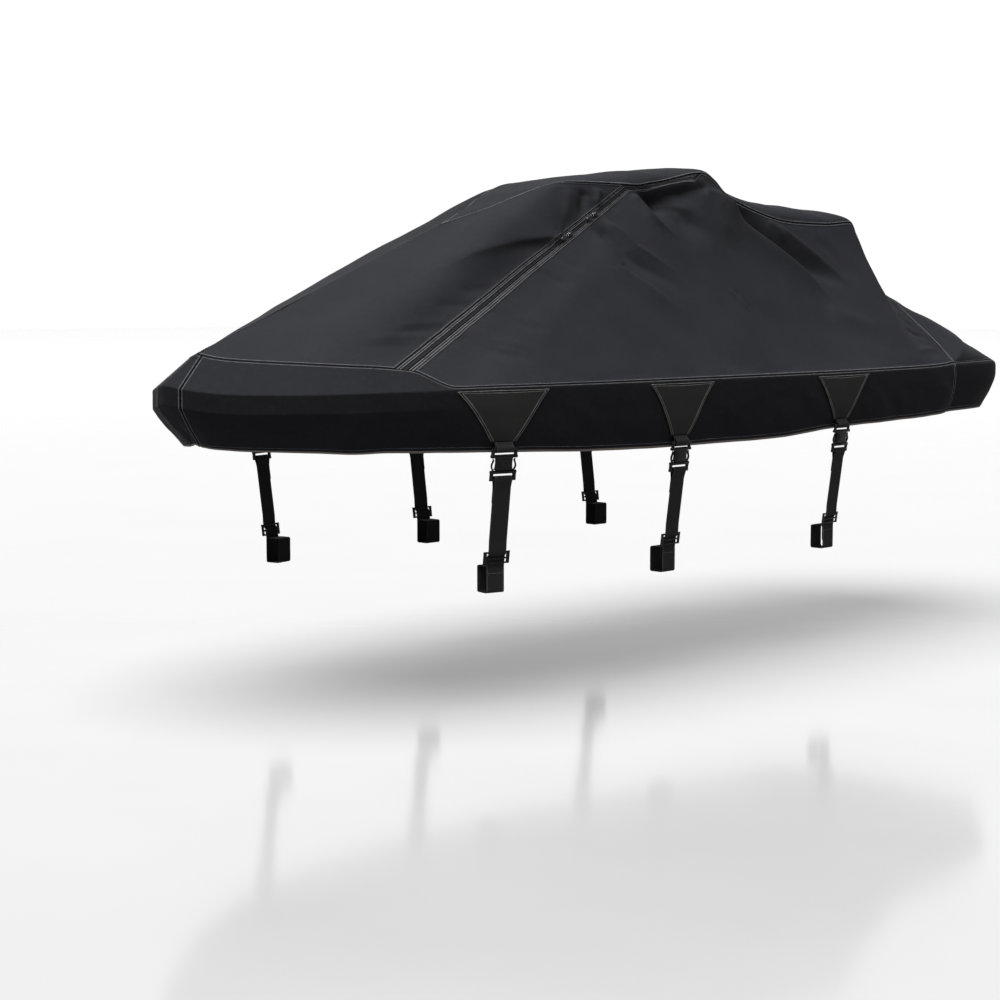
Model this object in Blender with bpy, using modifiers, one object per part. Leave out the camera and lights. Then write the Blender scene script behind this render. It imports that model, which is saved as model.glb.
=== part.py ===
"""A fitted travel cover for a three-seat personal watercraft, with a port zip and six tie-down straps.

Metres, +Z up, bow towards -X, port side towards -Y. The origin is on the underside of the cloth at the
peak, on the centreline. The craft and the trailer rails that the straps go round are not part of it.
"""

import math

import bmesh
import bpy
from mathutils import Matrix, Vector

# Cloth and gaps
CLOTH = 0.002            # coated polyester, one layer
GAP = 0.0003             # between pieces sewn edge to edge
SHARPEST = 0.02          # 1 + cosine between the trims at the tip of the sharpest wedge of cloth
TURN_DROP = 0.054        # lower crease of the band, below the gunwale edge
BAND_BELLY = 0.006       # how far the lower band stands proud of flat
TAPE_WIDTH = 0.044       # zip tape
NUDGE = 0.01             # step along or up the cover to the point that a slope is taken from

# One hoop of the cover in each row, from the stem to the transom, as the port half of it: the gunwale
# edge (x, distance out from the centreline, height), how far the hem tucks in and drops below it, the
# band's top seam in from it and above it, the centre panel's seam, the crest on the centreline, the
# hang of the side panel inside a straight line, and how round the crest is (1 ellipse, 0 parabola).
HOOP_COLUMNS = (
    "name", "steps", "gun_x", "gun_y", "gun_z", "tuck", "drop", "band_in", "band_up",
    "seam_x", "seam_y", "seam_z", "crest_x", "crest_z", "hang", "round",
)
HOOPS = (
    ("stem", 1, -2.225, .000, -.700, .105, .168, .115, .090, -1.160, .000, -.224, -1.160, -.224, .00, 1),
    ("strip", 2, -2.212, .055, -.708, .100, .168, .112, .092, -1.100, .016, -.205, -1.090, -.199, .00, 1),
    ("bow", 3, -2.150, .165, -.721, .088, .163, .105, .092, -.995, .050, -.170, -.975, -.160, -.02, 1),
    ("shoulder", 3, -2.020, .300, -.724, .078, .166, .095, .086, -.900, .088, -.132, -.885, -.117, -.03, 1),
    ("fore", 3, -1.880, .400, -.722, .065, .173, .085, .076, -.710, .130, -.078, -.700, -.068, -.05, 1),
    ("zip_fore", 1, -1.745, .465, -.719, .055, .176, .072, .064, -.440, .140, -.077, -.440, -.034, .00, 1),
    ("zip_aft", 2, -1.695, .490, -.718, .050, .178, .066, .056, -.385, .140, -.078, -.385, -.028, .00, 1),
    ("tab_fore", 2, -1.590, .535, -.715, .040, .182, .012, .006, -.310, .140, -.068, -.310, -.020, .04, 1),
    ("tab_mid", 2, -1.440, .580, -.712, .030, .188, .008, .005, -.235, .140, -.057, -.225, -.014, .06, 1),
    ("tab_aft", 3, -1.290, .602, -.712, .025, .193, .008, .005, -.170, .140, -.044, -.160, -.008, .08, 1),
    ("waist", 3, -1.000, .618, -.712, .020, .203, .008, .005, -.095, .140, -.029, -.080, -.003, .10, 1),
    ("peak", 3, -.700, .622, -.712, .020, .206, .008, .005, -.032, .140, -.022, .000, .001, .12, 1),
    ("neck", 2, -.400, .622, -.712, .020, .206, .008, .005, .040, .142, -.050, .050, -.014, .12, 1),
    ("dip", 3, -.150, .620, -.712, .020, .203, .008, .005, .092, .145, -.090, .120, -.062, .14, 1),
    ("seat_fore", 3, .100, .612, -.712, .020, .188, .008, .005, .200, .148, -.130, .240, -.090, .16, 1),
    ("seat", 3, .350, .603, -.711, .020, .182, .008, .005, .420, .160, -.178, .430, -.108, .18, 1),
    ("seat_aft", 2, .560, .592, -.710, .020, .179, .008, .005, .640, .176, -.184, .660, -.122, .16, 1),
    ("seat_end", 1, .700, .583, -.709, .020, .178, .008, .005, .790, .178, -.174, .810, -.138, .12, 1),
    ("back", 1, .800, .575, -.708, .022, .176, .008, .006, .862, .185, -.287, .900, -.270, .08, 1),
    ("foot", 1, .860, .568, -.707, .024, .175, .009, .007, .928, .205, -.412, 1.000, -.430, .04, 1),
    ("deck", 1, .900, .562, -.706, .026, .174, .010, .008, .990, .270, -.485, 1.120, -.475, .02, 1),
    ("deck_aft", 1, .925, .558, -.705, .028, .173, .011, .009, .990, .400, -.590, 1.250, -.510, .00, 1),
    ("corner", 2, .945, .555, -.704, .030, .172, .012, .010, .950, .543, -.694, 1.320, -.560, .00, 1),
    ("quarter", 2, 1.150, .548, -.702, .040, .170, .016, .012, 1.150, .532, -.690, 1.360, -.615, .00, .9),
    ("transom", 1, 1.325, .490, -.702, .060, .168, .020, .014, 1.312, .476, -.688, 1.385, -.665, .00, .5),
    ("transom_end", 0, 1.378, .395, -.702, .065, .166, .022, .014, 1.360, .385, -.688, 1.400, -.687, 0, 0),
)
CORNER = 22                       # aft of this hoop the side panel has run out
ACROSS = ("gun_y", "seam_y")      # columns that change sign from port to starboard

# Columns of cells in half a hoop: the band, then the side panel, then half the centre panel.
BAND_CELLS = 4
SIDE_SPREAD = (0, .11, .22, .33, .43, .52, .60, .67, .73, .79, .85, .91, .96)
SIDE_CELLS = len(SIDE_SPREAD)
WIDEST_TAPE_CELL = .06            # share of a short side panel that its last cell may add
CREST_CELLS = 4
TOP_SEAM = BAND_CELLS + SIDE_CELLS
CREST = TOP_SEAM + CREST_CELLS

# Main folds of the side panels. Each runs from one place through a bend to another, where 4.5 is half
# way from the fifth hoop to the sixth and a share is the part of the way up the panel. Then its half
# width and its height (below nought is a trough).
FOLD_COLUMNS = (
    "side", "from_place", "from_share", "bend_place", "bend_share", "to_place", "to_share",
    "width", "height",
)
FOLDS = (
    ("port", 7.3, .92, 10.0, .90, 11.6, .72, .060, -.026),       # hollow below the peak
    ("port", 12.5, .96, 14.7, .90, 15.3, .44, .055, .022),       # ridge that falls from the neck
    ("port", 13.5, .95, 14.8, .84, 15.9, .62, .050, -.026),      # hollow between that ridge and the seat
    ("port", 14.9, .96, 15.5, .80, 15.9, .62, .035, .010),       # lesser ridge off the seat's edge
    ("port", 6.9, .75, 9.4, .63, 11.0, .40, .040, -.010),        # trough aft from the zip's sliders
    ("port", 7.8, .66, 9.6, .55, 11.3, .28, .050, .009),         # ridge below that trough
    ("port", 5.0, .66, 4.6, .68, 3.7, .48, .055, .014),          # crest across the bonnet to the zip
    ("port", 5.0, .60, 4.6, .62, 4.1, .54, .050, -.012),         # its shadowed underside
    ("port", 4.5, .84, 3.8, .50, 2.7, .08, .090, .016),          # long soft edge of the bonnet's crown
    ("starboard", 4.5, .84, 3.8, .50, 2.7, .08, .090, .016),
    ("starboard", 8.6, .88, 10.4, .88, 11.8, .76, .060, -.020),
    ("starboard", 12.5, .95, 14.6, .88, 15.2, .46, .055, .020),
    ("starboard", 13.5, .93, 14.7, .82, 15.8, .60, .050, -.022),
)
FOLD_STEPS = 8                                # straight stretches along a fold
FOLD_FADE_FOOT, FOLD_FADE_TOP = .10, .04      # shares of a panel over which folds fade at its seams
FOLD_END = .08                                # how far into its taper a fold starts and stops

# Tie-down straps: along the gunwale at these places on both sides
TAB_PLACES = (("fore", -1.44), ("mid", -.70), ("aft", .17))
TAB_TOP, TAB_FOOT = 0.310, 0.086         # widths of the trapezoid
TAB_LEVELS = (2.92, 2.0, 1.0, 0.5)       # in the band's own levels: 3 gunwale, 2 turn, 1 belly, 0 hem
TAB_CELLS = 4
TAB_NUDGE, TAB_LIMIT = .02, 2.99         # levels either side of a crease, and the highest one
TAB_CLEAR = 0.0008
TAB_EDGE = 0.0022                        # where the webbing starts below the tab
LEAN = math.radians(8)                   # a strap runs inboard to its rail
WEBBING = 0.062                          # strap width
WEBBING_THICK = 0.002
CLEAR = 0.0006                           # webbing round a bar
SLOT_WIDTH = 0.067

# A buckle, down from its top: the socket's bar, slot, shoulders and waist, then the plug's base, slot
# and bar. The plug's prongs lie on both sides of the waist.
BUCKLE_OUT = 0.014                       # its mid plane, out from the band's foot
BUCKLE_TOP = 0.018                       # below the tab's foot
BUCKLE_WIDTH, WAIST_WIDTH = 0.090, 0.060
SOCKET_BAR, SOCKET_SLOT, SOCKET_SHOULDER, SOCKET_END = 0.009, 0.020, 0.028, 0.066
SOCKET_THICK, SOCKET_BAR_THICK = 0.014, 0.007
PRONG_TOP, PLUG_BASE, PLUG_SLOT, PLUG_BAR, PLUG_END = 0.031, 0.0665, 0.077, 0.089, 0.098
PLUG_THICK = 0.008
PRONG_GAP = 0.0006

# A tri-glide's three bars and two slots down from its top
GLIDE_HEIGHT = -1.192
GLIDE_WIDTH = 0.092
GLIDE_EDGES = (0.0, 0.006, 0.018, 0.024, 0.032, 0.038)
GLIDE_THICK = 0.003
BEYOND = 0.002                           # how far a cutter runs past what it cuts

# The sewn loop that goes round a trailer rail
RAIL_TOP, RAIL_FOOT = -1.238, -1.318
RAIL_DEPTH = 0.050
RAIL_CORNER = 0.006
SEWN = 0.0027                            # between the middles of two sewn layers of webbing
BUCKLE_TAIL, LOOP_TAIL = 0.045, 0.050
TOUCH_DOWN = 0.006                       # where the anchor's webbing meets the tab
INNER_RISE, OUTER_RISE, EDGE_RISE = 0.0004, 0.0022, 0.0006   # its two layers off the tab there
BAR_CLEAR = 0.001                        # straight webbing above the socket's bar
BAR_RUN, SEWN_RUN = 0.009, 0.030         # past the plug's bar: webbing off the bar, layers sewn together
GLIDE_RUN, GLIDE_NEAR = 0.030, 0.006     # above the tri-glide: webbing starts out, webbing in front
SLOT_HALF = 0.0044                       # half the webbing's drop through the tri-glide's slot
LOOP_CLEAR = 0.001                       # from the tri-glide's foot to where the loop's face starts

# Zip sliders and pulls
SLIDER_LENGTH, SLIDER_WIDTH, SLIDER_THICK = 0.028, 0.016, 0.008
PULL_LENGTH, PULL_WIDTH, PULL_THICK = 0.042, 0.012, 0.003
PULL_RAISE = 0.004                       # the pulls hang from the tops of the sliders
SLIDERS = (("lower", 7), ("upper", 9))   # the tape's cell that each one is on
SLIDER_LIFT = 0.0006

MATERIALS = {
    "hood_cloth": ((0.030, 0.030, 0.034), 0.62, 0.0),
    "band_cloth": ((0.014, 0.014, 0.016), 0.66, 0.0),
    "webbing": ((0.020, 0.020, 0.019), 0.80, 0.0),
    "zip_tape": ((0.016, 0.016, 0.017), 0.70, 0.0),
    "buckle_plastic": ((0.010, 0.010, 0.011), 0.28, 0.0),
    "zip_metal": ((0.020, 0.020, 0.022), 0.35, 0.6),
}


# ---- the cover's surface -------------------------------------------------------------------------

def fit_hoops():
    """Cubic curves along the cover, one for each column: distance, value and slope at each hoop."""
    rows = [dict(zip(HOOP_COLUMNS, hoop)) for hoop in HOOPS]
    distance = [0.0]
    for before, after in zip(rows, rows[1:]):
        edge = math.dist([before[c] for c in ("gun_x", "gun_y", "gun_z")],
                         [after[c] for c in ("gun_x", "gun_y", "gun_z")])
        seam = math.dist([before[c] for c in ("seam_x", "seam_y", "seam_z")],
                         [after[c] for c in ("seam_x", "seam_y", "seam_z")])
        distance.append(distance[-1] + edge + seam)
    slopes = []
    for k in range(len(rows)):
        slope = {}
        for column in HOOP_COLUMNS[2:]:
            ahead = None
            if k < len(rows) - 1:
                ahead = (rows[k + 1][column] - rows[k][column]) / (distance[k + 1] - distance[k])
            if k == 0:      # the starboard half mirrors the port one, so the stem is crossed square
                slope[column] = ahead if column in ACROSS else 0.0
                continue
            behind = (rows[k][column] - rows[k - 1][column]) / (distance[k] - distance[k - 1])
            slope[column] = behind if ahead is None else limited_slope(
                behind, ahead, distance[k] - distance[k - 1], distance[k + 1] - distance[k])
        slopes.append(slope)
    return rows, distance, slopes


def limited_slope(behind, ahead, step_behind, step_ahead):
    """Slope between two stretches that never swings past either of them."""
    if behind * ahead <= 0:
        return 0.0
    mean = (behind * step_ahead + ahead * step_behind) / (step_behind + step_ahead)
    return math.copysign(min(abs(mean), 3 * min(abs(behind), abs(ahead))), ahead)


ROWS, DISTANCE, SLOPES = fit_hoops()


def hoop_at(place):
    """Every column at a place along the cover: 4.5 is half way from the fifth hoop to the sixth."""
    k = min(int(place), len(ROWS) - 2)
    t = place - k
    span = DISTANCE[k + 1] - DISTANCE[k]
    hoop, rate = {}, {}
    for column in HOOP_COLUMNS[2:]:
        a, b = ROWS[k][column], ROWS[k + 1][column]
        ma, mb = SLOPES[k][column] * span, SLOPES[k + 1][column] * span
        hoop[column] = ((2 * t**3 - 3 * t**2 + 1) * a + (t**3 - 2 * t**2 + t) * ma
                        + (3 * t**2 - 2 * t**3) * b + (t**3 - t**2) * mb)
        rate[column] = ((6 * t**2 - 6 * t) * (a - b) + (3 * t**2 - 4 * t + 1) * ma
                        + (3 * t**2 - 2 * t) * mb)
    hoop["outward"] = Vector((-rate["gun_y"], -rate["gun_x"], 0)).normalized()
    return hoop


def band_profile(gunwale, outward, hoop):
    """Hem, belly, turn, gunwale and top seam of the band, from its gunwale point."""
    up = Vector((0, 0, 1))
    hem = gunwale - outward * hoop["tuck"] - up * hoop["drop"]
    turn = gunwale - up * TURN_DROP
    belly = (hem + turn) / 2 + outward * BAND_BELLY
    seam = gunwale - outward * hoop["band_in"] + up * hoop["band_up"]
    return hem, belly, turn, gunwale, seam


def hoop_band(hoop):
    gunwale = Vector((hoop["gun_x"], -hoop["gun_y"], hoop["gun_z"]))
    return band_profile(gunwale, hoop["outward"], hoop)


def side_point(hoop, share):
    """A point of the side panel, from 0 on the band's top seam to 1 on the centre panel's seam."""
    foot = hoop_band(hoop)[-1]
    top = Vector((hoop["seam_x"], -hoop["seam_y"], hoop["seam_z"]))
    middle = (foot + top) / 2
    under = Vector((middle.x, top.y, foot.z))
    middle += (under - middle) * hoop["hang"]
    return foot * (1 - share) ** 2 + middle * 2 * share * (1 - share) + top * share**2


def crest_point(hoop, top, share):
    """A point of the centre panel, from 0 on its port seam to 1 on the centreline."""
    turn = share * math.pi / 2
    across = hoop["round"] * math.cos(turn) + (1 - hoop["round"]) * (1 - share)
    rise = hoop["round"] * math.sin(turn) + (1 - hoop["round"]) * (1 - (1 - share) ** 2)
    crest = Vector((hoop["crest_x"], 0, hoop["crest_z"]))
    return Vector((top.x + (crest.x - top.x) * rise, top.y * across, top.z + (crest.z - top.z) * rise))


def side_shares(hoop):
    """Where the side panel's columns lie: the last is the lower edge of the zip tape by the top seam."""
    length = (side_point(hoop, 1) - side_point(hoop, 0)).length
    tape_edge = SIDE_SPREAD[-1]
    if length > TAPE_WIDTH:
        tape_edge = max(1 - TAPE_WIDTH / length, SIDE_SPREAD[-1] - WIDEST_TAPE_CELL)
    shares = [share / SIDE_SPREAD[-1] * tape_edge for share in SIDE_SPREAD]
    return shares + [1.0]


def fold_paths():
    """Each fold with the points that it runs through, on the panel's smooth surface."""
    paths = []
    for values in FOLDS:
        fold = dict(zip(FOLD_COLUMNS, values))
        points = []
        for i in range(FOLD_STEPS + 1):
            t = i / FOLD_STEPS
            weights = (("from", (1 - t) ** 2), ("bend", 2 * t * (1 - t)), ("to", t**2))
            place = sum(fold[f"{end}_place"] * weight for end, weight in weights)
            share = sum(fold[f"{end}_share"] * weight for end, weight in weights)
            points.append(side_point(hoop_at(place), share))
        paths.append((fold, points))
    return paths


FOLD_PATHS = fold_paths()


def nearest_on_path(point, points):
    """How far a point is from a path, and what share of the path lies before the nearest spot."""
    best = None
    for i, (start, end) in enumerate(zip(points, points[1:])):
        run = end - start
        along = min(max((point - start).dot(run) / run.length_squared, 0), 1)
        distance = (point - start - run * along).length
        if best is None or distance < best[0]:
            best = (distance, (i + along) / (len(points) - 1))
    return best


def fold_height(point, side, share):
    """How far the folds lift a point of the side panel. They fade out at its seams."""
    total = 0.0
    for fold, points in FOLD_PATHS:
        if fold["side"] != side:
            continue
        distance, along = nearest_on_path(point, points)
        taper = math.sin(math.pi * (FOLD_END + (1 - 2 * FOLD_END) * along)) ** 0.5
        total += fold["height"] * math.exp(-(distance / fold["width"]) ** 2) * taper
    return total * min(1, share / FOLD_FADE_FOOT, (1 - share) / FOLD_FADE_TOP)


# ---- the grid of points --------------------------------------------------------------------------

def row_places():
    places = []
    for k, row in enumerate(ROWS):
        places += [k + i / row["steps"] for i in range(row["steps"])]
    return places + [len(ROWS) - 1]


PLACES = row_places()
ROW_OF = {row["name"]: PLACES.index(k) for k, row in enumerate(ROWS)}
LAST = len(PLACES) - 1


def half_hoop(place, side):
    """All the points of half a hoop, hem to crest."""
    hoop = hoop_at(place)
    band = hoop_band(hoop)
    points = list(band)
    if place < CORNER:
        neighbour = hoop_at(place + NUDGE)
        for share in side_shares(hoop)[1:]:
            point = side_point(hoop, share)
            along = side_point(neighbour, share) - point
            above = min(share + NUDGE, 1)
            up = side_point(hoop, above) - side_point(hoop, above - NUDGE)
            normal = along.cross(up).normalized()
            points.append(point + normal * fold_height(point, side, share) * min(1, place))
    else:
        points += [band[-1]] * SIDE_CELLS
    top = points[-1]
    points += [crest_point(hoop, top, (i + 1) / CREST_CELLS) for i in range(CREST_CELLS)]
    if side == "starboard":
        points = [Vector((p.x, -p.y, p.z)) for p in points]
    return points


GRID = {side: [half_hoop(place, side) for place in PLACES] for side in ("port", "starboard")}


def cells(side, first_row, last_row, first_column, last_column):
    """Corner points of each cell of a block of the grid, outer face first."""
    grid = GRID[side]
    found = []
    for i in range(first_row, last_row):
        for j in range(first_column, last_column):
            corners = [grid[i][j], grid[i + 1][j], grid[i + 1][j + 1], grid[i][j + 1]]
            found.append(corners if side == "port" else corners[::-1])
    return found


def both_sides(first_row, last_row, first_column, last_column):
    return (cells("port", first_row, last_row, first_column, last_column)
            + cells("starboard", first_row, last_row, first_column, last_column))


def transom_cells():
    """The stern band below the transom's own edge, from the last hoop on one side to the other."""
    port = GRID["port"][LAST][TOP_SEAM:]
    edge = port + GRID["starboard"][LAST][TOP_SEAM:-1][::-1]
    hoop = hoop_at(PLACES[-1])
    profiles = []
    for i, seam in enumerate(edge):
        if i in (0, len(edge) - 1):
            side = "port" if i == 0 else "starboard"
            profiles.append(GRID[side][LAST][:BAND_CELLS + 1])
            continue
        along = edge[i + 1] - edge[i - 1]
        outward = Vector((along.y, -along.x, 0)).normalized()
        gunwale = seam + outward * hoop["band_in"] - Vector((0, 0, hoop["band_up"]))
        profiles.append(band_profile(gunwale, outward, hoop)[:-1] + (seam,))
    found = []
    for near, far in zip(profiles, profiles[1:]):
        for j in range(BAND_CELLS):
            found.append([near[j], far[j], far[j + 1], near[j + 1]])
    return found


def panel_cells():
    """Which cells of the grid each cloth piece is cut from."""
    strip, zip_fore, zip_aft = ROW_OF["strip"], ROW_OF["zip_fore"], ROW_OF["zip_aft"]
    peak, corner = ROW_OF["peak"], ROW_OF["corner"]
    return {
        "nose_strip": both_sides(0, strip, 0, BAND_CELLS),
        "band_port": cells("port", strip, corner, 0, BAND_CELLS),
        "band_starboard": cells("starboard", strip, corner, 0, BAND_CELLS),
        "band_stern": both_sides(corner, LAST, 0, BAND_CELLS) + transom_cells(),
        "bonnet": both_sides(0, zip_fore, BAND_CELLS, TOP_SEAM),
        "zip_tape": (cells("port", zip_fore, zip_aft, BAND_CELLS, TOP_SEAM)
                     + cells("port", zip_aft, peak, TOP_SEAM - 1, TOP_SEAM)),
        "side_port": (cells("port", zip_aft, peak, BAND_CELLS, TOP_SEAM - 1)
                      + cells("port", peak, corner, BAND_CELLS, TOP_SEAM)),
        "side_starboard": cells("starboard", zip_fore, corner, BAND_CELLS, TOP_SEAM),
        "centre_panel": both_sides(0, LAST, TOP_SEAM, CREST),
    }


# ---- cloth solids --------------------------------------------------------------------------------

def key(point):
    return tuple(round(c, 6) for c in point)


def triangles(corners):
    """A cell as triangles, cut across its shorter diagonal, without its collapsed edges."""
    kept = [c for i, c in enumerate(corners) if key(c) != key(corners[i - 1])]
    if len(kept) < 3:
        return []
    if len(kept) == 3:
        return [kept]
    a, b, c, d = kept
    if (a - c).length <= (b - d).length:
        return [[a, b, c], [a, c, d]]
    return [[a, b, d], [b, c, d]]


def face_normal(corners):
    return (corners[1] - corners[0]).cross(corners[2] - corners[0])


def shared_normals(all_triangles):
    """Normals at the grid's points, the same for every piece that meets there, so the edges mitre."""
    sums = {}
    for corners in all_triangles:
        normal = face_normal(corners).normalized()
        for i, corner in enumerate(corners):
            before, after = corners[i - 1] - corner, corners[(i + 1) % 3] - corner
            weight = before.angle(after)
            sums[key(corner)] = sums.get(key(corner), Vector()) + normal * weight
    return {place: total.normalized() for place, total in sums.items()}


def trimmed(corners_list):
    """Where each rim point moves so that a piece ends half a gap short of its seam line.

    SHARPEST keeps the tip of a wedge from running away.
    """
    edges = {}
    for corners in corners_list:
        for i in range(3):
            a, b = key(corners[i]), key(corners[(i + 1) % 3])
            edges[(a, b)] = (corners[(i + 1) % 3] - corners[i], face_normal(corners))
    inward = {}
    for (a, b), (run, normal) in edges.items():
        if (b, a) in edges:
            continue
        direction = normal.cross(run).normalized()
        inward.setdefault(a, []).append(direction)
        inward.setdefault(b, []).append(direction)
    moves = {}
    for place, directions in inward.items():
        total = sum(directions, Vector())
        spread = max(1 + directions[0].dot(directions[-1]), SHARPEST)
        moves[place] = total / spread * GAP / 2
    return moves


def cloth_solid(name, corners_list, normals, material):
    moves = trimmed(corners_list)
    mesh = bmesh.new()
    outer, inner = {}, {}
    for corners in corners_list:
        for corner in corners:
            place = key(corner)
            if place not in outer:
                middle = corner + moves.get(place, Vector())
                outer[place] = mesh.verts.new(middle + normals[place] * CLOTH / 2)
                inner[place] = mesh.verts.new(middle - normals[place] * CLOTH / 2)
    directed = set()
    for corners in corners_list:
        places = [key(c) for c in corners]
        mesh.faces.new([outer[p] for p in places])
        mesh.faces.new([inner[p] for p in reversed(places)])
        directed |= {(places[i], places[(i + 1) % 3]) for i in range(3)}
    for a, b in sorted(directed):
        if (b, a) in directed:
            continue
        wall = [outer[b], outer[a], inner[a], inner[b]]
        if a < b:       # walls that face each other across a seam are cut along the same diagonal
            wall = wall[1:] + wall[:1]
        mesh.faces.new([wall[0], wall[1], wall[2]])
        mesh.faces.new([wall[0], wall[2], wall[3]])
    return add_object(name, mesh, material)


# ---- objects -------------------------------------------------------------------------------------

def clear_scene():
    for old in list(bpy.data.objects):
        bpy.data.objects.remove(old, do_unlink=True)


def make_material(name):
    colour, roughness, metallic = MATERIALS[name]
    material = bpy.data.materials.new(name)
    material.use_nodes = True
    shader = material.node_tree.nodes["Principled BSDF"]
    shader.inputs["Base Color"].default_value = (*colour, 1)
    shader.inputs["Roughness"].default_value = roughness
    shader.inputs["Metallic"].default_value = metallic
    return material


def add_object(name, mesh, material, matrix=None):
    data = bpy.data.meshes.new(name)
    mesh.to_mesh(data)
    mesh.free()
    data.materials.append(bpy.data.materials[material])
    obj = bpy.data.objects.new(name, data)
    if matrix is not None:
        obj.matrix_world = matrix
    obj.parent = bpy.data.objects["cover"]
    bpy.data.collections["watercraft_cover"].objects.link(obj)
    return obj


def block(name, collection, spans):
    """Boxes in one mesh, each from a pair of opposite corners."""
    mesh = bmesh.new()
    for low, high in spans:
        centre = (Vector(low) + Vector(high)) / 2
        size = Vector(high) - Vector(low)
        placing = Matrix.Translation(centre) @ Matrix.Diagonal((*size, 1))
        bmesh.ops.create_cube(mesh, size=1, matrix=placing)
    data = bpy.data.meshes.new(name)
    mesh.to_mesh(data)
    mesh.free()
    obj = bpy.data.objects.new(name, data)
    obj.parent = bpy.data.objects["cover"]
    bpy.data.collections[collection].objects.link(obj)
    return obj


def cut_block(name, low, high, cuts, material, matrix):
    """A box with groups of boxes cut from it."""
    obj = block(name, "watercraft_cover", [(low, high)])
    obj.data.materials.append(bpy.data.materials[material])
    obj.matrix_world = matrix
    for kind, spans in cuts.items():
        cutter = block(f"{name}_{kind}_cutter", "cutters", spans)
        cutter.matrix_world = matrix
        cutter.hide_render = True
        cutter.display_type = "WIRE"
        modifier = obj.modifiers.new(kind, "BOOLEAN")
        modifier.operation = "DIFFERENCE"
        modifier.object = cutter
    return obj


def axes_matrix(origin, along, down):
    """Axes of a fitting: x along the band, y down the strap, z out of the cover."""
    along = along.normalized()
    down = (down - along * down.dot(along)).normalized()
    out = along.cross(down)
    return Matrix((
        (along.x, down.x, out.x, origin.x),
        (along.y, down.y, out.y, origin.y),
        (along.z, down.z, out.z, origin.z),
        (0, 0, 0, 1),
    ))


# ---- tie-down straps -----------------------------------------------------------------------------

def place_at_x(x):
    """The place along the cover where the gunwale edge is at x."""
    low, high = 0.0, float(CORNER)
    for _ in range(40):
        middle = (low + high) / 2
        if hoop_at(middle)["gun_x"] < x:
            low = middle
        else:
            high = middle
    return low


def on_band(x, level):
    """A point of the port band's middle surface, and outward there."""
    hoop = hoop_at(place_at_x(x))
    band = hoop_band(hoop)
    k = min(int(level), BAND_CELLS - 1)
    point = band[k].lerp(band[k + 1], level - k)
    along = Vector((-hoop["outward"].y, hoop["outward"].x, 0))
    return point, along.cross(band[k + 1] - band[k]).normalized()


def sheet_object(name, points, material, matrix=None):
    """Cloth or webbing over a grid of points, which it has as its middle."""
    mesh = bmesh.new()
    rows = [[mesh.verts.new(p) for p in row] for row in points]
    for near, far in zip(rows, rows[1:]):
        for j in range(len(near) - 1):
            mesh.faces.new((near[j], far[j], far[j + 1], near[j + 1]))
    obj = add_object(name, mesh, material, matrix)
    solidify = obj.modifiers.new("thickness", "SOLIDIFY")
    solidify.thickness = WEBBING_THICK
    solidify.offset = 0
    solidify.use_even_offset = True
    return obj


def build_tab(name, x, flip):
    """The trapezoid under the gunwale seam, lying on the band."""
    rows = []
    for level in TAB_LEVELS:
        drop = (TAB_LEVELS[0] - level) / (TAB_LEVELS[0] - TAB_LEVELS[-1])
        width = TAB_TOP + (TAB_FOOT - TAB_TOP) * drop
        row = []
        for j in range(TAB_CELLS + 1):
            spot = x + width * (j / TAB_CELLS - .5)
            above, below = min(level + TAB_NUDGE, TAB_LIMIT), level - TAB_NUDGE
            out = (on_band(spot, above)[1] + on_band(spot, below)[1]).normalized()
            row.append((on_band(spot, level)[0] + out * (CLOTH + TAB_CLEAR)) * flip)
        rows.append(row)
    sheet_object(name, rows, "webbing")


def arc(centre, radius, start, end, steps=6):
    """Points round a bar in the plane of a strap's path: degrees from straight out towards down."""
    angles = [math.radians(start + (end - start) * i / steps) for i in range(steps + 1)]
    return [(centre[0] + radius * math.cos(a), centre[1] + radius * math.sin(a)) for a in angles]


def leaning(path):
    """Points given in the strap's own lean, as (out, down) upright."""
    cosine, sine = math.cos(LEAN), math.sin(LEAN)
    return [(out * cosine - down * sine, out * sine + down * cosine) for out, down in path]


def webbing_object(name, path, matrix):
    half = WEBBING / 2
    points = [[(-half, down, out), (half, down, out)] for out, down in path]
    sheet_object(name, points, "webbing", matrix)


def anchor_path():
    """From the tab's foot round the socket's bar and up again outside."""
    radius = SOCKET_BAR_THICK / 2 + CLEAR + WEBBING_THICK / 2
    foot = CLOTH + TAB_CLEAR
    over = foot + SEWN
    above = BUCKLE_TOP - BAR_CLEAR
    round_bar = arc((BUCKLE_OUT, BUCKLE_TOP + SOCKET_BAR), radius, 180, 0)
    inside = [(foot, TAB_EDGE), (foot + INNER_RISE, TOUCH_DOWN), (BUCKLE_OUT - radius, above)]
    outside = [(BUCKLE_OUT + radius, above), (over + OUTER_RISE, TOUCH_DOWN), (over + EDGE_RISE, TAB_EDGE)]
    return inside + round_bar + outside


def glide_drop(foot_height):
    """Down the leaning strap from the tab's foot to the top of the tri-glide."""
    return (foot_height - GLIDE_HEIGHT) / math.cos(LEAN)


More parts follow.
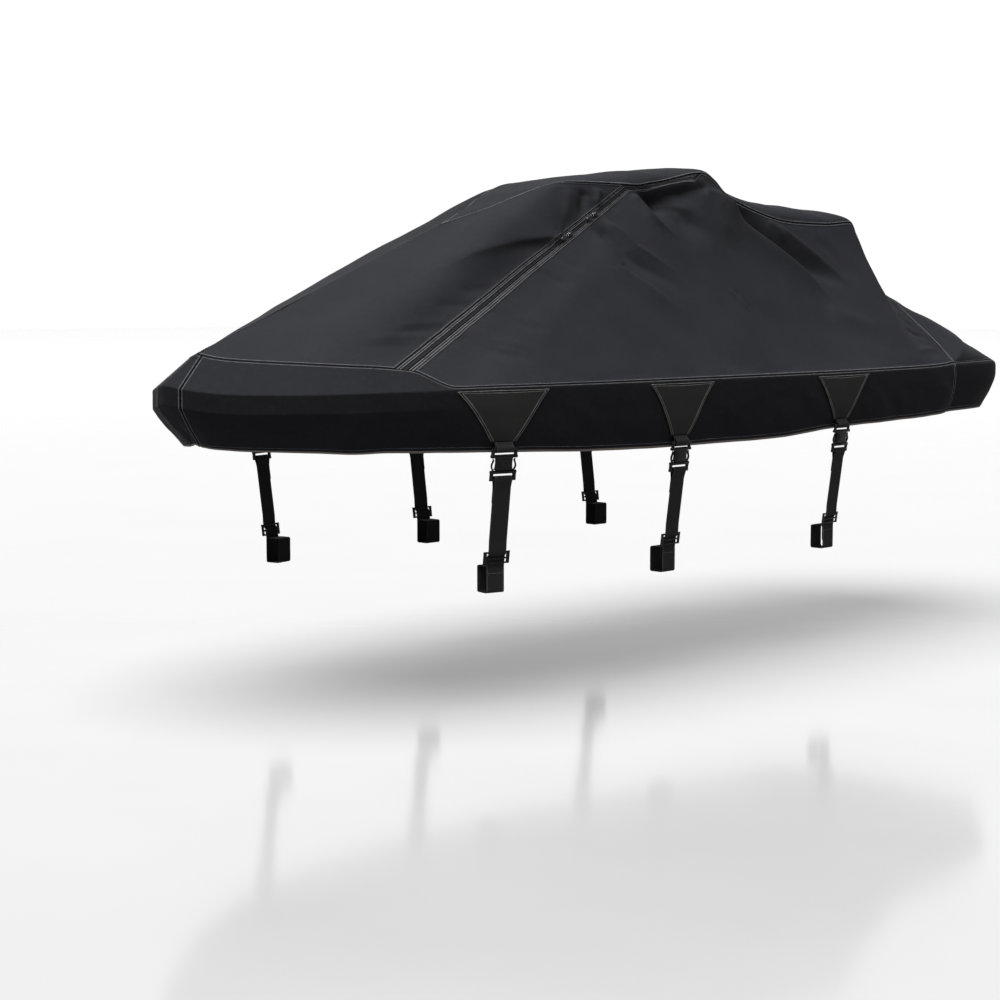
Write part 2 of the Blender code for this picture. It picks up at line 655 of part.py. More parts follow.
def strap_path(foot_height):
    """From its sewn tail round the plug's bar, down through the tri-glide and round the rail."""
    bar = BUCKLE_TOP + PLUG_BAR
    radius = PLUG_THICK / 2 + CLEAR + WEBBING_THICK / 2
    tail, front = BUCKLE_OUT - SEWN / 2, BUCKLE_OUT + SEWN / 2
    off_bar, sewn = bar + BAR_RUN, bar + SEWN_RUN
    path = [(tail, sewn + BUCKLE_TAIL), (tail, sewn), (BUCKLE_OUT - radius, off_bar)]
    path += arc((BUCKLE_OUT, bar), radius, 180, 360)
    path += [(BUCKLE_OUT + radius, off_bar), (front, sewn)]

    glide = glide_drop(foot_height)
    past = GLIDE_THICK / 2 + CLEAR + WEBBING_THICK / 2
    slot = glide + (GLIDE_EDGES[1] + GLIDE_EDGES[2]) / 2
    path += [(front, glide - GLIDE_RUN), (BUCKLE_OUT + past, glide - GLIDE_NEAR)]
    path += [(BUCKLE_OUT + past, slot - SLOT_HALF), (BUCKLE_OUT - past, slot + SLOT_HALF)]
    path += [(BUCKLE_OUT - past, glide + GLIDE_EDGES[-1] + LOOP_CLEAR)]
    path = leaning(path)

    top, foot = foot_height - RAIL_TOP, foot_height - RAIL_FOOT
    outer = path[-1][0] - LOOP_CLEAR
    inner = outer - RAIL_DEPTH
    turn = RAIL_CORNER
    path.append((outer, top))
    path += arc((outer - turn, foot - turn), turn, 0, 90, 3)
    path += arc((inner + turn, foot - turn), turn, 90, 180, 3)
    path += arc((inner + turn, top + turn), turn, 180, 270, 3)
    lap = outer - SEWN
    path += arc((lap - turn, top + turn), turn, 270, 360, 3)
    path.append((lap, top + LOOP_TAIL))
    return path


def build_socket(name, matrix):
    """Half of a buckle: a bar for the webbing, shoulders, and a waist between the plug's prongs."""
    width, waist, slot = BUCKLE_WIDTH / 2, WAIST_WIDTH / 2, SLOT_WIDTH / 2
    thick, bar = SOCKET_THICK / 2, SOCKET_BAR_THICK / 2
    side, face, end = width + BEYOND, thick + BEYOND, SOCKET_END + BEYOND
    cut_block(name, (-width, 0, -thick), (width, SOCKET_END, thick), {
        "thinning": [((-side, -BEYOND, bar), (side, SOCKET_SLOT, face)),
                     ((-side, -BEYOND, -face), (side, SOCKET_SLOT, -bar))],
        "waist": [((-side, SOCKET_SHOULDER, -face), (-waist, end, face)),
                  ((waist, SOCKET_SHOULDER, -face), (side, end, face))],
        "slot": [((-slot, SOCKET_BAR, -face), (slot, SOCKET_SLOT, face))],
    }, "buckle_plastic", matrix)


def build_plug(name, matrix):
    """The other half: two prongs round the socket's waist, and a bar for the strap."""
    width, pocket, slot = BUCKLE_WIDTH / 2, WAIST_WIDTH / 2 + PRONG_GAP, SLOT_WIDTH / 2
    thick = PLUG_THICK / 2
    face = thick + BEYOND
    cut_block(name, (-width, PRONG_TOP, -thick), (width, PLUG_END, thick), {
        "pocket": [((-pocket, PRONG_TOP - BEYOND, -face), (pocket, PLUG_BASE, face))],
        "slot": [((-slot, PLUG_SLOT, -face), (slot, PLUG_BAR, face))],
    }, "buckle_plastic", matrix)


def build_triglide(name, matrix):
    edges, half, slot, thick = GLIDE_EDGES, GLIDE_WIDTH / 2, SLOT_WIDTH / 2, GLIDE_THICK / 2
    face = thick + BEYOND
    cut_block(name, (-half, 0, -thick), (half, edges[-1], thick), {
        "slots": [((-slot, edges[1], -face), (slot, edges[2], face)),
                  ((-slot, edges[3], -face), (slot, edges[4], face))],
    }, "buckle_plastic", matrix)


def build_strap(place, x, side):
    flip = Vector((1, 1, 1)) if side == "port" else Vector((1, -1, 1))
    name = f"{place}_{side}"
    build_tab(f"tab_{name}", x, flip)
    foot, out = on_band(x, TAB_LEVELS[-1])
    level_out = Vector((out.x, out.y, 0)).normalized() * flip
    down = Vector((0, 0, -1))
    along = down.cross(level_out)
    upright = axes_matrix(foot * flip, along, down)
    leant = upright @ Matrix.Rotation(-LEAN, 4, "X")
    webbing_object(f"anchor_{name}", anchor_path(), leant)
    webbing_object(f"strap_{name}", strap_path(foot.z), upright)
    buckle = leant @ Matrix.Translation((0, BUCKLE_TOP, BUCKLE_OUT))
    build_socket(f"socket_{name}", buckle)
    build_plug(f"plug_{name}", buckle)
    build_triglide(f"triglide_{name}", leant @ Matrix.Translation((0, glide_drop(foot.z), BUCKLE_OUT)))


# ---- zip sliders ---------------------------------------------------------------------------------

def build_slider(name, cell):
    """A slider and its pull on the zip tape, lying down the slope."""
    grid, near, far = GRID["port"], ROW_OF["zip_fore"], ROW_OF["zip_aft"]
    column = BAND_CELLS + cell
    low = (grid[near][column] + grid[far][column]) / 2
    high = (grid[near][column + 1] + grid[far][column + 1]) / 2
    down = low - high
    out = down.cross(grid[far][column] - grid[near][column])
    matrix = axes_matrix((low + high) / 2, down.cross(out), down)
    lift = CLOTH / 2 + SLIDER_LIFT
    pull_start = SLIDER_LENGTH + GAP * 2
    parts = (("slider", 0, lift, SLIDER_LENGTH, SLIDER_WIDTH, SLIDER_THICK),
             ("pull", pull_start, lift + PULL_RAISE, PULL_LENGTH, PULL_WIDTH, PULL_THICK))
    for kind, start, base, length, width, thick in parts:
        obj = block(f"{kind}_{name}", "watercraft_cover",
                    [((-width / 2, start, base), (width / 2, start + length, base + thick))])
        obj.data.materials.append(bpy.data.materials["zip_metal"])
        obj.matrix_world = matrix


def build_panels():
    pieces = {name: [t for c in found for t in triangles(c)] for name, found in panel_cells().items()}
    normals = shared_normals([t for found in pieces.values() for t in found])
    for name, found in pieces.items():
        material = "hood_cloth"
        if name.startswith(("band", "nose")):
            material = "band_cloth"
        if name == "zip_tape":
            material = "zip_tape"
        cloth_solid(name, found, normals, material)


def build():
    clear_scene()
    collection = bpy.data.collections.new("watercraft_cover")
    bpy.context.scene.collection.children.link(collection)
    cutters = bpy.data.collections.new("cutters")
    bpy.context.scene.collection.children.link(cutters)
    empty = bpy.data.objects.new("cover", None)
    collection.objects.link(empty)
    for name in MATERIALS:
        make_material(name)
    build_panels()
    for name, cell in SLIDERS:
        build_slider(name, cell)
    for side in ("port", "starboard"):
        for place, x in TAB_PLACES:
            build_strap(place, x, side)


build()
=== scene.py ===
import math
import bpy
import numpy as np
from mathutils import Matrix, Vector, noise


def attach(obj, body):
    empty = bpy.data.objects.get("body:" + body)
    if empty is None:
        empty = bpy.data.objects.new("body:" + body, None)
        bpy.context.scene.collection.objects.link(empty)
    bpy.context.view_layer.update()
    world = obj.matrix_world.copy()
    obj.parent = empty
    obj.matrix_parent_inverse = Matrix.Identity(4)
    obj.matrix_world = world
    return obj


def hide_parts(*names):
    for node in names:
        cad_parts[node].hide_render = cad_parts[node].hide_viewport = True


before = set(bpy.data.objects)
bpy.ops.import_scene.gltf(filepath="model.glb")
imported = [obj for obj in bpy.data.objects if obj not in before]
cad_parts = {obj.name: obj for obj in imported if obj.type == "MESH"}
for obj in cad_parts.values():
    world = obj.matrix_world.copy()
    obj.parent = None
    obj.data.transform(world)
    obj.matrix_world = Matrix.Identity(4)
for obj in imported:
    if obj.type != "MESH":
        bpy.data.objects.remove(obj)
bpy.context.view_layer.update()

print("frame loaded:", len(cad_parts), "nodes")

# Half hoops of the cover from the stem to the transom, port side, in metres
hoopColumns = (
    "name", "gunX", "gunY", "gunZ", "tuck", "drop", "bandIn", "bandUp",
    "seamX", "seamY", "seamZ", "crestX", "crestZ", "hang", "round",
)
hoops = (
    ("stem", -2.225, .000, -.700, .105, .168, .115, .090, -1.160, .000, -.224, -1.160, -.224, .00, 1),
    ("strip", -2.212, .055, -.708, .100, .168, .112, .092, -1.100, .016, -.205, -1.090, -.199, .00, 1),
    ("bow", -2.150, .165, -.721, .088, .163, .105, .092, -.995, .050, -.170, -.975, -.160, -.02, 1),
    ("shoulder", -2.020, .300, -.724, .078, .166, .095, .086, -.900, .088, -.132, -.885, -.117, -.03, 1),
    ("fore", -1.880, .400, -.722, .065, .173, .085, .076, -.710, .130, -.078, -.700, -.068, -.05, 1),
    ("zipFore", -1.745, .465, -.719, .055, .176, .072, .064, -.440, .140, -.077, -.440, -.034, .00, 1),
    ("zipAft", -1.695, .490, -.718, .050, .178, .066, .056, -.385, .140, -.078, -.385, -.028, .00, 1),
    ("tabFore", -1.590, .535, -.715, .040, .182, .012, .006, -.310, .140, -.068, -.310, -.020, .04, 1),
    ("tabMid", -1.440, .580, -.712, .030, .188, .008, .005, -.235, .140, -.057, -.225, -.014, .06, 1),
    ("tabAft", -1.290, .602, -.712, .025, .193, .008, .005, -.170, .140, -.044, -.160, -.008, .08, 1),
    ("waist", -1.000, .618, -.712, .020, .203, .008, .005, -.095, .140, -.029, -.080, -.003, .10, 1),
    ("peak", -.700, .622, -.712, .020, .206, .008, .005, -.032, .140, -.022, .000, .001, .12, 1),
    ("neck", -.400, .622, -.712, .020, .206, .008, .005, .040, .142, -.050, .050, -.014, .12, 1),
    ("dip", -.150, .620, -.712, .020, .203, .008, .005, .092, .145, -.090, .120, -.062, .14, 1),
    ("seatFore", .100, .612, -.712, .020, .188, .008, .005, .200, .148, -.130, .240, -.090, .16, 1),
    ("seat", .350, .603, -.711, .020, .182, .008, .005, .420, .160, -.178, .430, -.108, .18, 1),
    ("seatAft", .560, .592, -.710, .020, .179, .008, .005, .640, .176, -.184, .660, -.122, .16, 1),
    ("seatEnd", .700, .583, -.709, .020, .178, .008, .005, .790, .178, -.174, .810, -.138, .12, 1),
    ("back", .800, .575, -.708, .022, .176, .008, .006, .862, .185, -.287, .900, -.270, .08, 1),
    ("foot", .860, .568, -.707, .024, .175, .009, .007, .928, .205, -.412, 1.000, -.430, .04, 1),
    ("deck", .900, .562, -.706, .026, .174, .010, .008, .990, .270, -.485, 1.120, -.475, .02, 1),
    ("deckAft", .925, .558, -.705, .028, .173, .011, .009, .990, .400, -.590, 1.250, -.510, .00, 1),
    ("corner", .945, .555, -.704, .030, .172, .012, .010, .950, .543, -.694, 1.320, -.560, .00, 1),
    ("quarter", 1.150, .548, -.702, .040, .170, .016, .012, 1.150, .532, -.690, 1.360, -.615, .00, .9),
    ("transom", 1.325, .490, -.702, .060, .168, .020, .014, 1.312, .476, -.688, 1.385, -.665, .00, .5),
    ("transomEnd", 1.378, .395, -.702, .065, .166, .022, .014, 1.360, .385, -.688, 1.400, -.687, .00, 0),
)
hoopNumber = {hoop[0]: k for k, hoop in enumerate(hoops)}
lastHoop = len(hoops) - 1
cover = {
    "clothThickness": .0008,
    "outerFace": .001,           # outer face of the cloth from the middle of its solid
    "turnDrop": .054,            # lower crease of the band below the gunwale edge
    "bandBelly": .006,
    "bowSoftness": .028,         # of the band's creases, sharp at the bow
    "sideSoftness": .24,         # what is added amidships
    "tapeWidth": .044,
    "tapeEnd": (-.60, .01),      # places about the peak where the tape narrows into the seam
    "cell": .0085,               # size of a cell of the cloth's mesh
    "fineCell": .0066,           # the bonnet's, where the pleats are
    "wideCell": .0120,           # the centre panel's
    "bandCell": .00765,
    "noseCell": .0051,
    "seamSteps": (0, .0012, .0024, .0036, .0050, .0060, .0072, .0088, .0102, .0125, .017, .024),
    "stitchGap": .0060,          # a row of stitches beside each seam
    "stitchSink": (.0003, .0014),     # depth and half width
    "feltEdge": (.0088, .0113),  # double layer beside a felled seam
    "feltRise": .0014,
    "grooveWidth": .0036,
    "puckers": ((.030, 31.0), (.052, 37.0)),     # size and seed
    "puckerHeight": .0010,
    "puckerNear": (.001, .012), "puckerFar": (.02, .07),
}
up = np.array([0, 0, 1.0])


def smoothStep(value, low, high):
    t = np.clip((value - low) / (high - low), 0, 1)
    return t * t * (3 - 2 * t)


def points(x, y, z):
    return np.stack(np.broadcast_arrays(x, y, z), -1).astype(float)


def unit(vectors):
    return vectors / np.maximum(np.linalg.norm(vectors, axis=-1, keepdims=True), 1e-12)


def mirrored(grid):
    return grid * np.array([1, -1, 1])


def softNoise(grid, size, seed):
    flat = grid.reshape(-1, 3) / size + seed
    return np.array([noise.noise(Vector(p)) for p in flat]).reshape(grid.shape[:-1])


def runAlong(line):
    # metres from the start of a line to each of its points
    return np.concatenate([[0], np.cumsum(np.linalg.norm(np.diff(line, axis=0), axis=1))])


def sampled(spots, run, values):
    return np.stack([np.interp(spots, run, column) for column in values.T], -1)


def fitHoops():
    # smooth curves through the hoops: each column's slope at each hoop
    values = np.array([hoop[1:] for hoop in hoops], float)
    names = hoopColumns[1:]
    step = sum(np.linalg.norm(np.diff(values[:, k:k + 3], axis=0), axis=1) for k in (0, 7))
    rise = np.diff(values, axis=0) / step[:, None]
    slope = np.zeros_like(values)
    for k in range(1, lastHoop):
        before, after = rise[k - 1], rise[k]
        mean = (before * step[k] + after * step[k - 1]) / (step[k - 1] + step[k])
        limit = 3 * np.minimum(abs(before), abs(after))
        slope[k] = np.where(before * after > 0, np.sign(after) * np.minimum(abs(mean), limit), 0)
    slope[lastHoop] = rise[-1]
    for name in ("gunY", "seamY"):      # the stem is crossed square
        slope[0, names.index(name)] = rise[0, names.index(name)]
    return names, values, slope, step


fittedHoops = fitHoops()


def hoopsAt(place):
    # every column at places along the cover: 4.5 is half way from the fifth hoop to the sixth
    names, values, slope, step = fittedHoops
    place = np.asarray(place, float)
    k = np.clip(place.astype(int), 0, lastHoop - 1)
    t = (place - k)[..., None]
    span = step[k][..., None]
    start, rise, first, last = values[k], values[k + 1] - values[k], slope[k] * span, slope[k + 1] * span
    bend, twist = 3 * rise - 2 * first - last, first + last - 2 * rise
    fitted = start + t * (first + t * (bend + t * twist))
    rate = first + t * (2 * bend + t * 3 * twist)
    hoop = {name: fitted[..., i] for i, name in enumerate(names)}
    hoop["outward"] = unit(points(-rate[..., 1], -rate[..., 0], 0))
    hoop["softness"] = cover["bowSoftness"] + cover["sideSoftness"] * smoothStep(place, 5, 9)
    return hoop


def bandKnots(gunwale, outward, hoop):
    # the band's profile: hem, belly, turn, gunwale and top seam are its levels 0 to 4
    column = lambda name: hoop[name][..., None]
    hem = gunwale - outward * column("tuck") - up * column("drop")
    turn = gunwale - up * cover["turnDrop"]
    belly = (hem + turn) / 2 + outward * cover["bandBelly"]
    seam = gunwale - outward * column("bandIn") + up * column("bandUp")
    return np.stack([hem, belly, turn, gunwale, seam])


def alongBand(knots, level, softness):
    # points at levels between the knots, with the creases softened
    level = np.broadcast_to(np.asarray(level, float), knots.shape[1:-1])
    reach = np.minimum(softness, np.minimum(level, 4 - level))
    total = 0
    for part in (-1, -.5, 0, .5, 1):
        at = np.clip(level + reach * part, 0, 4)
        k = np.minimum(at.astype(int), 3)
        share = (at - k)[..., None]
        low = np.take_along_axis(knots, k[None, ..., None], 0)[0]
        high = np.take_along_axis(knots, k[None, ..., None] + 1, 0)[0]
        total = total + low * (1 - share) + high * share
    return total / 5


def hoopKnots(hoop):
    gunwale = points(hoop["gunX"], -hoop["gunY"], hoop["gunZ"])
    return bandKnots(gunwale, hoop["outward"], hoop)


def bandPoints(place, level):
    hoop = hoopsAt(place)
    return alongBand(hoopKnots(hoop), level, hoop["softness"])


def sidePoints(place, share):
    # share 0 at the band's top seam, 1 at the centre panel's seam
    hoop = hoopsAt(place)
    foot = hoopKnots(hoop)[4]
    top = points(hoop["seamX"], -hoop["seamY"], hoop["seamZ"])
    middle = (foot + top) / 2
    under = points(middle[..., 0], top[..., 1], foot[..., 2])
    middle = middle + (under - middle) * hoop["hang"][..., None]
    share = np.asarray(share)[..., None]
    return foot * (1 - share) ** 2 + middle * 2 * share * (1 - share) + top * share**2


def crestPoints(place, share):
    # share -1 at the port seam, 0 on the crest, 1 at the starboard seam
    hoop = hoopsAt(place)
    seam = points(hoop["seamX"], -hoop["seamY"], hoop["seamZ"])
    astern = (np.asarray(place) >= hoopNumber["corner"])[..., None]
    seam = np.where(astern, hoopKnots(hoop)[4], seam)
    inner = 1 - abs(share)
    turn = inner * math.pi / 2
    across = hoop["round"] * np.cos(turn) + (1 - hoop["round"]) * (1 - inner)
    rise = hoop["round"] * np.sin(turn) + (1 - hoop["round"]) * (1 - (1 - inner) ** 2)
    x = seam[..., 0] + (hoop["crestX"] - seam[..., 0]) * rise
    z = seam[..., 2] + (hoop["crestZ"] - seam[..., 2]) * rise
    return points(x, np.sign(-share) * seam[..., 1] * across, z)


def facing(surface, place, level, step, low=-np.inf, high=np.inf):
    # normals of a surface that is given by place and level
    along = surface(place + step, level) - surface(place - step, level)
    rise = surface(place, np.clip(level + step, low, high)) - surface(place, np.clip(level - step, low, high))
    return unit(np.cross(along, rise))


# Folds of the side panels and the bonnet: place and share of the way up at the start, the bend and the
# end, widths above and below the line, the height, which under nought is a trough, and how crisp it is,
# from 0 for a soft swell to 1 for a sharp crease.
folds = {
    "port": (
        # below the peak and its tape
        (7.2, .93, 10.0, .90, 11.8, .68, .036, .080, -.036, 0),
        (7.0, .962, 9.2, .955, 11.1, .962, .016, .020, .007, .3),
        (6.7, .935, 9.0, .922, 11.5, .925, .014, .050, -.026, .1),
        (10.7, .945, 11.1, .94, 11.5, .93, .016, .022, -.012, .2),
        (6.40, .955, 8.2, .86, 10.6, .68, .011, .026, .015, .85),
        (8.6, .905, 10.0, .87, 11.0, .80, .014, .030, .008, .5),
        (9.0, .84, 10.4, .83, 11.2, .76, .022, .030, .006, .2),
        (11.8, .965, 12.3, .90, 12.6, .68, .050, .060, .012, 0),
        # from the neck down to the side, and the hollows in front of the seat
        (12.35, .985, 14.75, .90, 15.35, .42, .018, .075, .028, .75),
        (13.2, .970, 14.9, .855, 15.9, .60, .044, .038, -.034, 0),
        (14.55, .975, 14.75, .94, 14.85, .86, .012, .016, .009, .7),
        (14.6, .975, 15.5, .845, 16.0, .60, .014, .024, .014, .8),
        (15.6, .93, 16.1, .80, 16.3, .62, .025, .030, -.006, .2),
        (14.9, .45, 15.6, .38, 16.4, .28, .040, .050, .006, 0),
        # aft from the zip's sliders
        (6.15, .775, 8.9, .66, 11.2, .40, .026, .034, -.015, .1),
        (6.30, .800, 8.8, .71, 10.8, .50, .012, .022, .011, .8),
        (6.30, .740, 9.2, .58, 11.2, .30, .014, .055, .009, .45),
        # pulls along the zip, on the side and on the bonnet
        (5.8, .175, 7.2, .170, 8.4, .10, .018, .024, -.0055, 0),
        (5.8, .215, 7.0, .215, 8.0, .17, .018, .018, .0035, .1),
        (5.8, .310, 7.2, .300, 8.2, .24, .018, .024, -.0040, 0),
        (5.8, .505, 6.9, .500, 7.8, .460, .016, .020, -.0038, 0),
        (5.8, .585, 6.9, .575, 7.6, .540, .016, .018, -.0028, 0),
        (3.8, .120, 4.5, .150, 5.2, .150, .018, .014, .0026, .3),
        (3.8, .085, 4.5, .100, 5.2, .105, .014, .018, -.0022, .1),
        (4.1, .180, 4.5, .215, 5.2, .225, .018, .014, .0024, .3),
        (4.15, .150, 4.6, .180, 5.2, .185, .014, .016, -.0020, .1),
        (4.4, .285, 4.7, .310, 5.2, .310, .014, .018, -.0024, .1),
        (4.5, .360, 4.8, .390, 5.2, .390, .016, .018, -.0022, .1),
        # across the bonnet
        (4.6, .96, 3.8, .50, 2.6, .02, .100, .110, .013, 0),
        (5.4, .665, 4.4, .70, 3.65, .46, .080, .020, .012, .85),
        (5.4, .630, 4.7, .64, 4.30, .59, .014, .030, -.006, .1),
        # pleats above the upper slider
        (4.42, .960, 4.65, .88, 4.98, .79, .018, .018, -.011, 0),
        (4.62, .970, 4.82, .91, 4.99, .86, .015, .015, .009, .2),
        (4.18, .965, 4.46, .85, 4.85, .74, .022, .022, .006, 0),
        # marks where the cloth was folded away, and pulls at the quarter seam
        (12.1, .47, 12.4, .42, 12.8, .34, .007, .007, .0035, .6),
        (12.3, .47, 12.6, .42, 13.0, .34, .006, .006, -.0035, .5),
        (12.4, .45, 12.7, .41, 13.1, .33, .006, .006, .0025, .6),
        (20.0, .66, 18.5, .55, 17.6, .42, .012, .016, .006, .4),
        (20.2, .48, 18.5, .37, 17.4, .26, .012, .016, -.006, .3),
        (20.4, .26, 18.5, .18, 17.2, .10, .012, .016, .005, .3),
    ),
    "starboard": (
        (4.6, .96, 3.8, .50, 2.6, .02, .100, .085, .018, 0),
        (8.6, .90, 10.4, .89, 11.8, .74, .050, .070, -.022, 0),
        (7.4, .96, 8.6, .90, 9.8, .74, .018, .026, .008, .5),
        (12.45, .97, 14.6, .89, 15.2, .44, .026, .075, .022, .6),
        (13.4, .96, 14.8, .83, 15.8, .58, .045, .040, -.024, .1),
        (14.8, .96, 15.4, .84, 15.8, .62, .022, .026, .010, .5),
        (6.0, .62, 8.6, .55, 10.8, .34, .022, .040, .008, .3),
        (5.2, .30, 6.6, .31, 7.8, .24, .016, .018, -.005, .2),
        (20.2, .48, 18.5, .37, 17.4, .26, .012, .016, .006, .3),
    ),
}
foldShape = {
    "steps": 10,
    "kink": .0055, "fall": 1.5,  # radius of a sharp crease, and how fast it falls away
    "sideBlend": .006,
    "fadeIn": (-.02, .20), "fadeOut": (-.02, .34),
}
hoodWaves = {                    # size and height
    "long": (.24, .0050), "short": (.10, .0019),
    "seed": {"port": 3.0, "starboard": 43.0},
}


def foldPaths(side):
    # each fold's widths, height and crispness, and its line on the side's surface
    t = np.linspace(0, 1, foldShape["steps"] + 1)
    bend = np.stack([(1 - t) ** 2, 2 * t * (1 - t), t**2])
    return [(row[6:], sidePoints(row[0:6:2] @ bend, row[1:6:2] @ bend)) for row in np.array(folds[side])]


foldLines = {side: foldPaths(side) for side in folds}


def foldHeights(grid, side):
    # how far the folds lift a grid of points
    flat = grid.reshape(-1, 3)
    total = np.zeros(len(flat))
    blend, kink = foldShape["sideBlend"], foldShape["kink"]
    for (above, below, height, crisp), path in foldLines[side]:
        reach = 4 * max(above, below)
        near = np.nonzero(((flat > path.min(0) - reach) & (flat < path.max(0) + reach)).all(1))[0]
        best, along, raised = np.full(len(near), 1e9), np.zeros(len(near)), np.zeros(len(near))
        for i in range(foldShape["steps"]):
            run, spot = path[i + 1] - path[i], flat[near] - path[i]
            t = np.clip(spot @ run / (run @ run), 0, 1)
            off = spot - t[:, None] * run
            distance = np.linalg.norm(off, axis=1)
            closer = distance < best
            best = np.where(closer, distance, best)
            along = np.where(closer, (i + t) / foldShape["steps"], along)
            raised = np.where(closer, off[:, 2], raised)
        width = below + (above - below) * smoothStep(raised, -blend, blend)
        soft = np.exp(-(best / width) ** 2)
        sharp = np.exp(-foldShape["fall"] * (np.sqrt(best**2 + kink**2) - kink) / width)
        taper = smoothStep(along, *foldShape["fadeIn"]) * smoothStep(1 - along, *foldShape["fadeOut"])
        total[near] += height * taper * (soft * (1 - crisp) + sharp * crisp)
    return total.reshape(grid.shape[:-1])


def hoodSurface(place, share, side):
    # the taut, folded middle of the hood's cloth, the same for every piece that meets there
    place, share = np.broadcast_arrays(np.asarray(place, float), np.asarray(share, float))
    base = sidePoints(place, share)
    fade = np.clip(np.minimum(share / .08, (1 - share) / .035), 0, 1)
    slack = smoothStep(share, 0, .07) * smoothStep(1 - share, 0, .06)
    (long, high), (short, low), seed = hoodWaves["long"], hoodWaves["short"], hoodWaves["seed"][side]
    lift = foldHeights(base, side) * fade
    lift = lift + (softNoise(base, long, seed) * high + softNoise(base, short, seed + 8) * low) * slack
    lift = lift * smoothStep(place, 0, 1)
    surface = base + facing(sidePoints, place, share, .004) * lift[..., None]
    return surface if side == "port" else mirrored(surface)


tabs = {
    "places": {"fore": -1.44, "mid": -.70, "aft": .17},
    "topWidth": .310, "footWidth": .086,
    "topLevel": 2.92, "footLevel": .5,
    "standOff": .0028,           # middle of the tab from the middle of the band
    "bindingWidth": .0105, "bindingRise": .0011,
    "levelSteps": 46, "acrossSteps": 22,
    "edgeSteps": (0, .0012, .0028, .0045, .0065, .0085, .0105, .0115, .013, .017),
    "sideRows": (.0028, .0085), "topRows": (.004, .011),
}
bandWaves = {                    # size and height
    "long": (.15, .0080), "short": (.07, .0024),
    "pulls": (.075, .0060),      # these fall towards the stern
    "tabReach": .15, "edgeShare": .25,
    "seed": {"port": 19.0, "starboard": 61.0},
}


def bandSlack(place, level, side):
    # waves of the band, none under the tabs, at the seams or on the creases
    base = bandPoints(place, level)
    x = base[..., 0]
    free = 1
    for centre in tabs["places"].values():
        free = free * (1 - np.exp(-((x - centre) / bandWaves["tabReach"]) ** 4))
    shapes = (base * np.array([1, 1, .45]), base, points(x * .25, 0, .6 * x + base[..., 2]))
    waves = 0
    for shape, kind, shift in zip(shapes, ("long", "short", "pulls"), (0, 4, 9)):
        size, height = bandWaves[kind]
        waves = waves + softNoise(shape, size, bandWaves["seed"][side] + shift) * height
    face = smoothStep(level, -.3, .8) * (1 - smoothStep(level, 1.6, 2.2))
    ends = smoothStep(place, 1, 1.6) * (1 - smoothStep(place, 21, 22))
    edge = bandWaves["edgeShare"]
    return waves * (edge + (1 - edge) * face) * free * ends * (1 - smoothStep(level, 2.6, 3.6))


def bandSurface(place, level, side):
    place, level = np.broadcast_arrays(np.asarray(place, float), np.asarray(level, float))
    normal = facing(bandPoints, place, level, .03, 0, 4)
    surface = bandPoints(place, level) + normal * bandSlack(place, level, side)[..., None]
    if side == "starboard":
        return mirrored(surface), mirrored(normal)
    return surface, normal


def gridNormals(grid):
    return unit(np.cross(np.gradient(grid, axis=0), np.gradient(grid, axis=1)))


def edgeDistances(grid):
    # metres from each point to its grid's first row, last row, first column and last column
    alongRows = np.linalg.norm(np.diff(grid, axis=0), axis=-1)
    acrossRows = np.linalg.norm(np.diff(grid, axis=1), axis=-1)
    down = np.concatenate([np.zeros((1, grid.shape[1])), np.cumsum(alongRows, 0)])
    across = np.concatenate([np.zeros((grid.shape[0], 1)), np.cumsum(acrossRows, 1)], 1)
    return down, down[-1:] - down, across, across[:, -1:] - across


def settle(name, mesh, material, node=None, matrix=None, thickness=0):
    # a mesh as a piece: its material, its place, its body and the node that it stands for
    mesh.materials.append(materials[material])
    mesh.shade_smooth()
    obj = bpy.data.objects.new(name, mesh)
    if matrix is not None:
        obj.matrix_world = matrix
    bpy.context.scene.collection.objects.link(obj)
    if thickness:
        solidify = obj.modifiers.new("thickness", "SOLIDIFY")
        solidify.thickness = thickness
        solidify.offset = -1
    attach(obj, "root")
    if node:
        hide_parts(node)


def makeSheet(name, grid, values, material, node, thickness=0, flip=False):
    # a mesh over a grid of points, with a value at each point for the materials to read
    rows, columns = grid.shape[:2]
    index = np.arange(rows * columns).reshape(rows, columns)
    quads = np.stack([index[:-1, :-1], index[1:, :-1], index[1:, 1:], index[:-1, 1:]], -1).reshape(-1, 4)
    if flip:
        quads = quads[:, ::-1]
    flat = grid.reshape(-1, 3)
    _, first, same = np.unique(np.round(flat, 6), axis=0, return_index=True, return_inverse=True)
    faces = []
    for quad in same.reshape(-1)[quads]:
        kept = [v for i, v in enumerate(quad) if v != quad[i - 1]]
        if len(kept) >= 3 and len(set(kept)) == len(kept):
            faces.append(kept)
    mesh = bpy.data.meshes.new(name)
    mesh.from_pydata(flat[first].tolist(), [], faces)
    for key, value in values.items():
        value = np.broadcast_to(value, (rows, columns)).reshape(-1)[first]
        mesh.attributes.new(key, "FLOAT", "POINT").data.foreach_set("value", value.astype(np.float32))
    settle(name, mesh, material, node, thickness=thickness)


def addMesh(name, body, material, node=None, matrix=None, sharpFrom=50):
    # a mesh from its points and faces, with its edges sharp from an angle in degrees
    mesh = bpy.data.meshes.new(name)
    mesh.from_pydata([tuple(v) for v in body[0]], [], [tuple(f) for f in body[1]])
    settle(name, mesh, material, node, matrix)
    if sharpFrom:
        mesh.set_sharp_from_angle(angle=math.radians(sharpFrom))


print("surface and folds ready:", sum(map(len, folds.values())), "folds")


